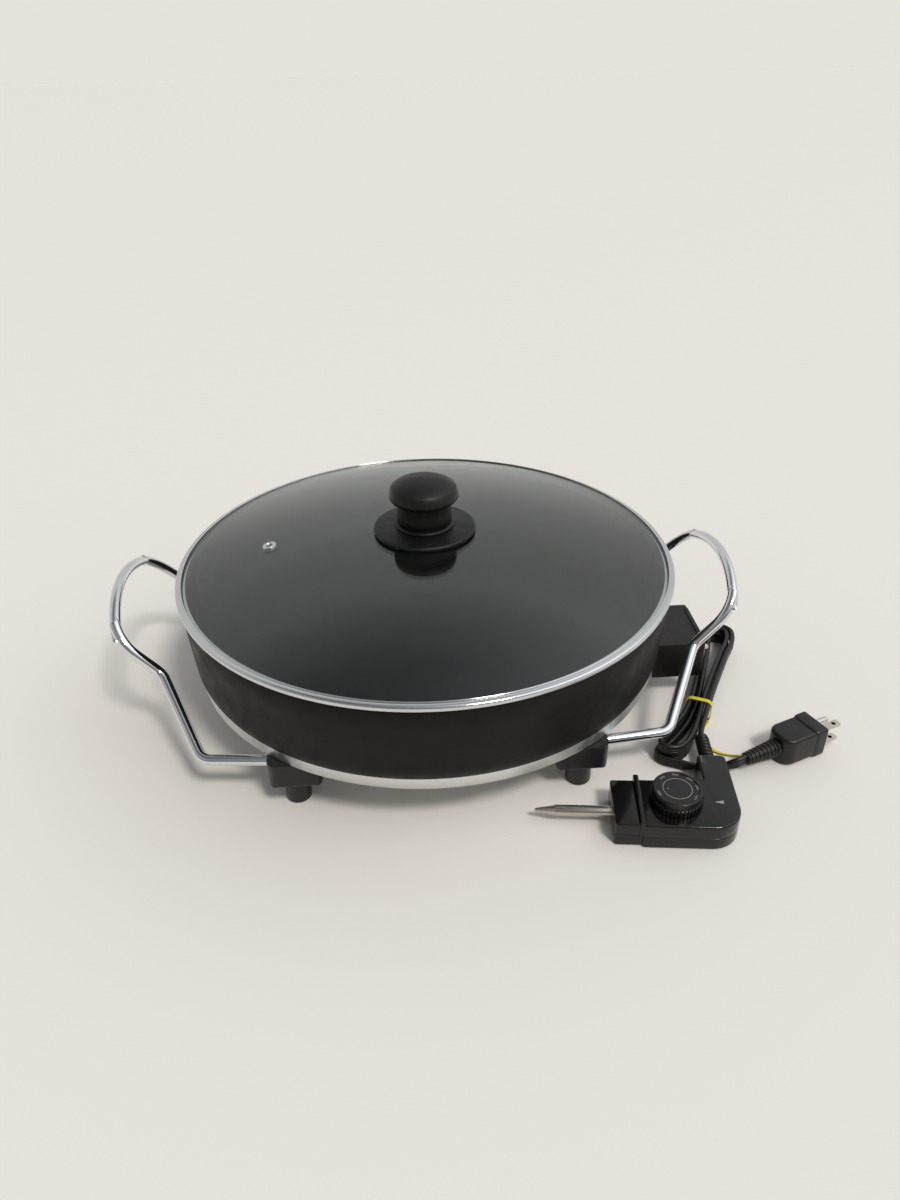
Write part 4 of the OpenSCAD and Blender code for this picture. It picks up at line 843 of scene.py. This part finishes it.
# %% Knob and disc
# Phenolic, satin from the mould
knob_phenolic = finish("phenolic_satin", "#0a0a0a", 0.45, (0.5, 0.012), (0.4, 0.52, 10), IOR=1.42)
disc_low, disc_high = (v.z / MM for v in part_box("knob_disc"))
knob_low, knob_high = (v.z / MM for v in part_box("lid_knob"))
DISC_R, NECK_R, CAP_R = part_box("knob_disc")[1].x / MM, 21.0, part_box("lid_knob")[1].x / MM
disc = ([(4, disc_low + 1.6), (DISC_R - 5, disc_low + 1.6), (DISC_R - 4, disc_low + 0.2)]
        + bend(DISC_R - 1.3, disc_low + 1.3, 1.3, -90, 0, 6)
        + bend(DISC_R - 1.8, disc_high - 2.2, 1.8, 0, 82, 6)
        + [(NECK_R + 3.4, disc_high - 0.15), (NECK_R + 2.6, disc_high), (4, disc_high)])
piece("hand_guard_disc", lathe(disc, 160), knob_phenolic, "lid", ["knob_disc"])
CAP_H, CAP_START = 12.4, 22
cap_z = knob_high - CAP_H
cap_top = [((CAP_R - 0.6) * cos(radians(a)) / cos(radians(CAP_START)), cap_z + CAP_H * sin(radians(a)))
           for a in (CAP_START + (90 - CAP_START) * k / 16 for k in range(1, 17))]
knob = ([(0, knob_low + 1), (3, knob_low + 1), (3, knob_low), (NECK_R + 1.2, knob_low)]
        + bend(NECK_R + 0.4, knob_low + 1.5, 1.1, -50, 60, 6)
        + [(NECK_R - 0.5, knob_low + 3.0), (NECK_R - 0.5, knob_low + 3.8), (NECK_R, knob_low + 4.5),
           (NECK_R - 0.3, knob_low + 9), (NECK_R - 0.6, knob_low + 14)]
        + bend(NECK_R + 2.2, cap_z - 7.2, 2.8, 180, 100, 6)
        + bend(CAP_R - 3.2, cap_z - 1.2, 3.2, -78, 20, 10) + cap_top)
piece("knob", lathe(knob, 160), knob_phenolic, "lid", ["lid_knob"], sharp=50)
# Silicone washer: milky and soft
silicone = finish("silicone_moulded", "#c9c7be", 0.5, (1.0, 0.02), Subsurface_Weight=0.2)
finished_copy("washer", "knob_gasket", silicone, sharp=30)
finished_copy("screw_of_the_knob", "knob_screw", zinc, sharp=30)

# %% [markdown]
# ## The socket guard
# The guard shields the terminal pins: a phenolic box open towards the control and below. Its flat walls
# and softened edges come from the construction, copied and bevelled.

# %% The guard
guard_phenolic = finish("phenolic_black_moulded", "#101011", 0.42, (0.5, 0.02), (0.36, 0.52, 12))
finished_copy("guard", "socket_guard", guard_phenolic, bevel_mm=0.5)

# %% [markdown]
# ## The heat control
# The housing is two glossy black shells that meet at a fine seam. Seen from above it is one outline: a
# body with a large round corner and an arm that leads back to the cord. The outline is lifted through
# levels, so its long top edge is a clean round that draws a line of light. The neck is a lower block, and
# a thin upright rib stands where neck and body meet.

# %% The housing
# Injection-moulded and polished: nearly a black mirror, with faint handling marks
gloss_black = finish("abs_gloss_black", "#0c0c0d", 0.09, patches=(0.06, 0.15, 18))
BODY = [(18.5, -23, 2), (84, -23, 20), (84, 48, 4), (64, 48, 3), (64, 21, 3), (18.5, 21, 2)]
NECK = [(0, -21, 2), (20, -21, 1), (20, 21, 1), (0, 21, 2)]
RIB = [(16, -22, 0.7), (19.5, -22, 0.7), (19.5, 23.5, 0.7), (16, 23.5, 0.7)]
SEAM_Z, BODY_H, NECK_H, RIB_H, SEAM_GAP = 9.5, 20.0, 19.0, 22.0, 0.1
upper = joined(moulded(BODY, soft_levels(SEAM_Z + SEAM_GAP, BODY_H, 0.25, 1.6), 16),
               moulded(NECK, soft_levels(SEAM_Z + SEAM_GAP, NECK_H, 0.25, 1.0)),
               moulded(RIB, soft_levels(SEAM_Z + SEAM_GAP, RIB_H, 0, 0.6)))
lower = joined(moulded(BODY, soft_levels(0, SEAM_Z, 1.2, 0.25), 16),
               moulded(NECK, soft_levels(0, SEAM_Z, 1.0, 0.25)))
piece("upper_shell", upper, gloss_black, "control", ["control_top"], control, 50)
piece("lower_shell", lower, gloss_black, "control", ["control_base"], control, 50)

# %% The probe
# Stainless steel tube, ground and brushed along its length
probe_steel, tree, shader = surface("stainless_tube_brushed", "#c6c0b6", 0.24, Metallic=1)
BRUSHED = (60, 2600, 2600)
along_probe = add(tree, "ShaderNodeMapping", {"Vector": place_on(tree), "Scale": BRUSHED,
                                              "Rotation": (0, 0, -control.to_euler().z)}, vector_type="POINT")
lines = add(tree, "ShaderNodeTexNoise", {"Vector": along_probe.outputs[0], "Scale": 1.0, "Detail": 2})
raised(tree, shader, lines, 0.01)
PROBE_R, PROBE_L = 3.75, 52
probe = ([(0, 4), (PROBE_R, 4), (PROBE_R, -PROBE_L + 14), (PROBE_R - 0.25, -PROBE_L + 13.4),
          (PROBE_R - 0.55, -PROBE_L + 13)] + bend(0, -PROBE_L + 1.3, 1.3, -15, -90, 6))
probe_place = control @ Matrix.Translation(Vector((0, 0, SEAM_Z)) * MM) @ upright_to_x
piece("probe", lathe(probe, 64), probe_steel, "control", ["temperature_probe"],
      probe_place, 30)

# %% [markdown]
# ## The dial
# The dial is a drum with forty grips round its skirt, a slightly smaller top, a printed ring, numbers and
# a pointer. The grips repeat round a circle, so a tree sets one small rib on each point of a ring.

# %% The dial's grips
rib_ring, given, end = geometry_tree("ribs_in_a_ring", {
    "Count": (WHOLE, 40), "Radius": (FLOAT, 0.018), "Rib Radius": (FLOAT, 0.001), "Height": (FLOAT, 0.005),
    "Lift": (FLOAT, 0.0), "Material": (STUFF, None)})
ring = add(rib_ring, "GeometryNodeMeshCircle", {"Vertices": given["Count"],
                                                "Radius": given["Radius"]})
rib = add(rib_ring, "GeometryNodeMeshCylinder", {"Vertices": 12, "Side Segments": 1, "Fill Segments": 1,
                                                 "Radius": given["Rib Radius"],
                                                 "Depth": given["Height"]})
ribs = add(rib_ring, "GeometryNodeInstanceOnPoints", {"Points": ring.outputs[0], "Instance": rib.outputs[0]})
lift = add(rib_ring, "ShaderNodeCombineXYZ", {"Z": given["Lift"]})
lifted = add(rib_ring, "GeometryNodeTransform", {"Geometry": ribs.outputs[0],
                                                 "Translation": lift.outputs[0]})
ended(rib_ring, given, lifted.outputs[0], end)

# Satin plastic of the dial, and the pale ink printed on it
dial_plastic = finish("abs_satin_black", "#121213", 0.3, (0.5, 0.01))
ink = finish("pad_printed_ink", "#a2a29c", 0.55, (0.3, 0.01))

DIAL_AT = Vector((42, 1.5, 0))
dial_low, dial_high = (v.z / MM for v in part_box("dial"))
DIAL_R, DIAL_H, GRIPS, GRIP_R = 17.8, dial_high - dial_low, 40, 0.75
SKIRT_H, TOP_R = DIAL_H * 0.5, 16.4
dial_place = control @ Matrix.Translation(DIAL_AT * MM)
drum = ([(0, 0), (DIAL_R - 1.0, 0)] + bend(DIAL_R - 1.2, SKIRT_H - 0.8, 0.6, 0, 80, 4)
        + [(TOP_R, SKIRT_H)] + bend(TOP_R - 0.9, DIAL_H - 0.9, 0.9, 0, 90, 6)
        + bend(TOP_R - 1.9, DIAL_H - 0.3, 0.3, 80, 180, 3)
        + [(TOP_R - 2.2, DIAL_H - 0.6), (0, DIAL_H - 0.6)])
grips = grown("grips", rib_ring, {"Count": GRIPS, "Radius": (DIAL_R - GRIP_R) * MM,
                                  "Rib Radius": GRIP_R * MM, "Height": SKIRT_H * MM,
                                  "Lift": SKIRT_H / 2 * MM, "Material": dial_plastic})
dial_mesh = merged("dial_drum", made("dial_drum", lathe(drum, 120)), grips)
dial_mesh.transform(dial_place @ Matrix.Translation((0, 0, dial_low * MM)))
piece("dial_drum", dial_mesh, dial_plastic, "dial", ["dial"])

# %% The printed scale
INK_T, SCALE_R, MARK_H = 0.06, 13.6, 2.3
FACE_Z = dial_high - 0.6
MARKS = {"OFF": -38, "200": 7, "250": 45, "300": 88, "350": 130, "400": 200}
RING_R0, RING_R1, POINTER_AT = 9.35, 9.7, -6.4
INK_LEVELS = [(-INK_T / 2, 0), (INK_T / 2, 0)]


def printed(text, height, place):
    """Flat lettering as a thin mesh, its middle at place."""
    font = bpy.data.curves.new("print", "FONT")
    font.body = text
    font.size = height * MM * 1.35
    font.extrude = INK_T / 2 * MM
    font.align_x = font.align_y = "CENTER"
    font.resolution_u = 3
    holder = bpy.data.objects.new("print", font)
    bpy.context.collection.objects.link(holder)
    mesh = bpy.data.meshes.new_from_object(holder.evaluated_get(bpy.context.evaluated_depsgraph_get()))
    bpy.data.objects.remove(holder)
    mesh.transform(place)
    return mesh


inks = []
for text, angle in MARKS.items():
    at = Matrix.Rotation(radians(angle), 4, "Z") @ Matrix.Translation((SCALE_R * MM, 0, 0))
    inks.append(printed(text, MARK_H, at @ Matrix.Rotation(radians(-90), 4, "Z")))
half_ink = INK_T / 2
ring_print = lathe([(RING_R0, -half_ink), (RING_R1, -half_ink), (RING_R1, half_ink), (RING_R0, half_ink)], 96)
drop = [(POINTER_AT - 0.9, 0, 0.1), (POINTER_AT + 0.7, -0.75, 0.6), (POINTER_AT + 0.7, 0.75, 0.6)]
inks += [made("ring", ring_print), made("pointer", moulded(drop, INK_LEVELS))]
scale_mesh = merged("dial_scale", *inks)
scale_mesh.transform(dial_place @ Matrix.Translation((0, 0, (FACE_Z + INK_T / 2) * MM)))
piece("dial_scale", scale_mesh, ink, "dial", ())

# A small arrow on the housing shows where the scale is read
ARROW_AT = Vector((70.5, 0.5, BODY_H + INK_T / 2))
arrow = moulded([(-3, 0, 0.1), (3, -1.5, 0.1), (3, 1.5, 0.1)], INK_LEVELS, 3)
arrow_place = control @ Matrix.Translation(ARROW_AT * MM)
piece("index_arrow", arrow, ink, "control", (), arrow_place)

# %% [markdown]
# ## What the housing hides
# Clips, thermostat, shaft and screws show only when the object is taken apart. They keep their
# construction meshes and get plain metal finishes.

# %% Inner pieces
# Spring brass, stamped
brass = finish("brass_stamped", "#c9a765", 0.3, (0.4, 0.01), Metallic=1)
for node, material in {"terminal_clips": brass, "thermostat_blade": brass, "thermostat_frame": zinc,
                       "dial_shaft": zinc, "control_screws": zinc}.items():
    shown = frame["nodes"][node].data.materials
    shown.clear()
    shown.append(material)

# %% [markdown]
# ## Table, room and light
# The table is a plain pale floor. The room is a soft gradient: bright low down and behind the object, darker
# overhead and behind the camera, which gives chrome its light and dark streaks. One lamp is narrow, like a
# window, and draws the bright lines on gloss and chrome. A wide patch of the room's ceiling fills the rest.

# %% The table
FLOOR_SIZE = 30.0
cloth = finish("table_cloth_pale", "#e9e7e3", 0.85)
floor_mesh = bpy.data.meshes.new("table")
half = FLOOR_SIZE / 2
corners = [(-half, -half, 0), (half, -half, 0), (half, half, 0), (-half, half, 0)]
floor_mesh.from_pydata(corners, [], [(0, 1, 2, 3)])
floor_mesh.materials.append(cloth)
table = bpy.data.objects.new("table", floor_mesh)
bpy.context.collection.objects.link(table)

# %% The room and the lamp
BACKDROP = "#e5e2dc"
CEILING_WAY, CEILING_FALL, CEILING_PEAK = (0.6, -0.1, 0.9), 6, 1.3
world = bpy.data.worlds.new("soft_studio")
world.use_nodes = True
tree = world.node_tree
tree.nodes.clear()
looking = add(tree, "ShaderNodeTexCoord").outputs["Generated"]
way = add(tree, "ShaderNodeSeparateXYZ", {0: looking})
height = add(tree, "ShaderNodeValToRGB", {"Fac": way.outputs["Z"]})
stops = [(0.0, "#d8d7d4"), (0.3, "#c8c8c7"), (0.68, "#cccdcc"), (0.86, "#707274"), (1.0, "#55575a")]
ramp = height.color_ramp.elements
while len(ramp) < len(stops):
    ramp.new(0.5)
for element, (at, colour) in zip(ramp, stops):
    element.position = at
    element.color = linear(colour)
depth = add(tree, "ShaderNodeMapRange", {"Value": way.outputs["Y"], "From Min": -1.0, "From Max": 0.5,
                                         "To Min": 0.3, "To Max": 1.0})
glow = add(tree, "ShaderNodeBackground", {"Color": height.outputs["Color"],
                                          "Strength": depth.outputs["Result"]})
# A wide soft patch of ceiling, brightest in the middle and without an edge, so no disc shows in the glass
facing = add(tree, "ShaderNodeVectorMath", {0: looking, 1: Vector(CEILING_WAY).normalized()},
             operation="DOT_PRODUCT")
front = add(tree, "ShaderNodeMath", {0: facing.outputs["Value"], 1: 0.0}, operation="MAXIMUM")
lobe = add(tree, "ShaderNodeMath", {0: front.outputs[0], 1: CEILING_FALL}, operation="POWER")
level = add(tree, "ShaderNodeMath", {0: lobe.outputs[0], 1: CEILING_PEAK}, operation="MULTIPLY")
ceiling = add(tree, "ShaderNodeBackground", {"Color": linear("#f8f9ff"), "Strength": level.outputs[0]})
lit = add(tree, "ShaderNodeAddShader", {0: glow.outputs[0], 1: ceiling.outputs[0]})
# The far edge of the table runs out into a room of the table's own tone
backdrop = add(tree, "ShaderNodeBackground", {"Color": linear(BACKDROP), "Strength": 1.0})
seen = add(tree, "ShaderNodeLightPath").outputs["Is Camera Ray"]
room = add(tree, "ShaderNodeMixShader", {0: seen, 1: lit.outputs[0], 2: backdrop.outputs[0]})
add(tree, "ShaderNodeOutputWorld", {"Surface": room.outputs[0]})
bpy.context.scene.world = world

# The lamp is so far off that it lights the whole table evenly. Its width softens the shadows.
WINDOW_WAY, WINDOW_STRENGTH, WINDOW_WIDTH = (0.3, -0.5, 0.82), 1.6, 12
window = bpy.data.lights.new("window", "SUN")
window.energy = WINDOW_STRENGTH
window.angle = radians(WINDOW_WIDTH)
window.color = linear("#fff8ee")[:3]
holder = bpy.data.objects.new("window", window)
holder.rotation_euler = Vector(WINDOW_WAY).to_track_quat("Z", "Y").to_euler()
bpy.context.collection.objects.link(holder)
bpy.context.scene.view_settings.view_transform = "Standard"
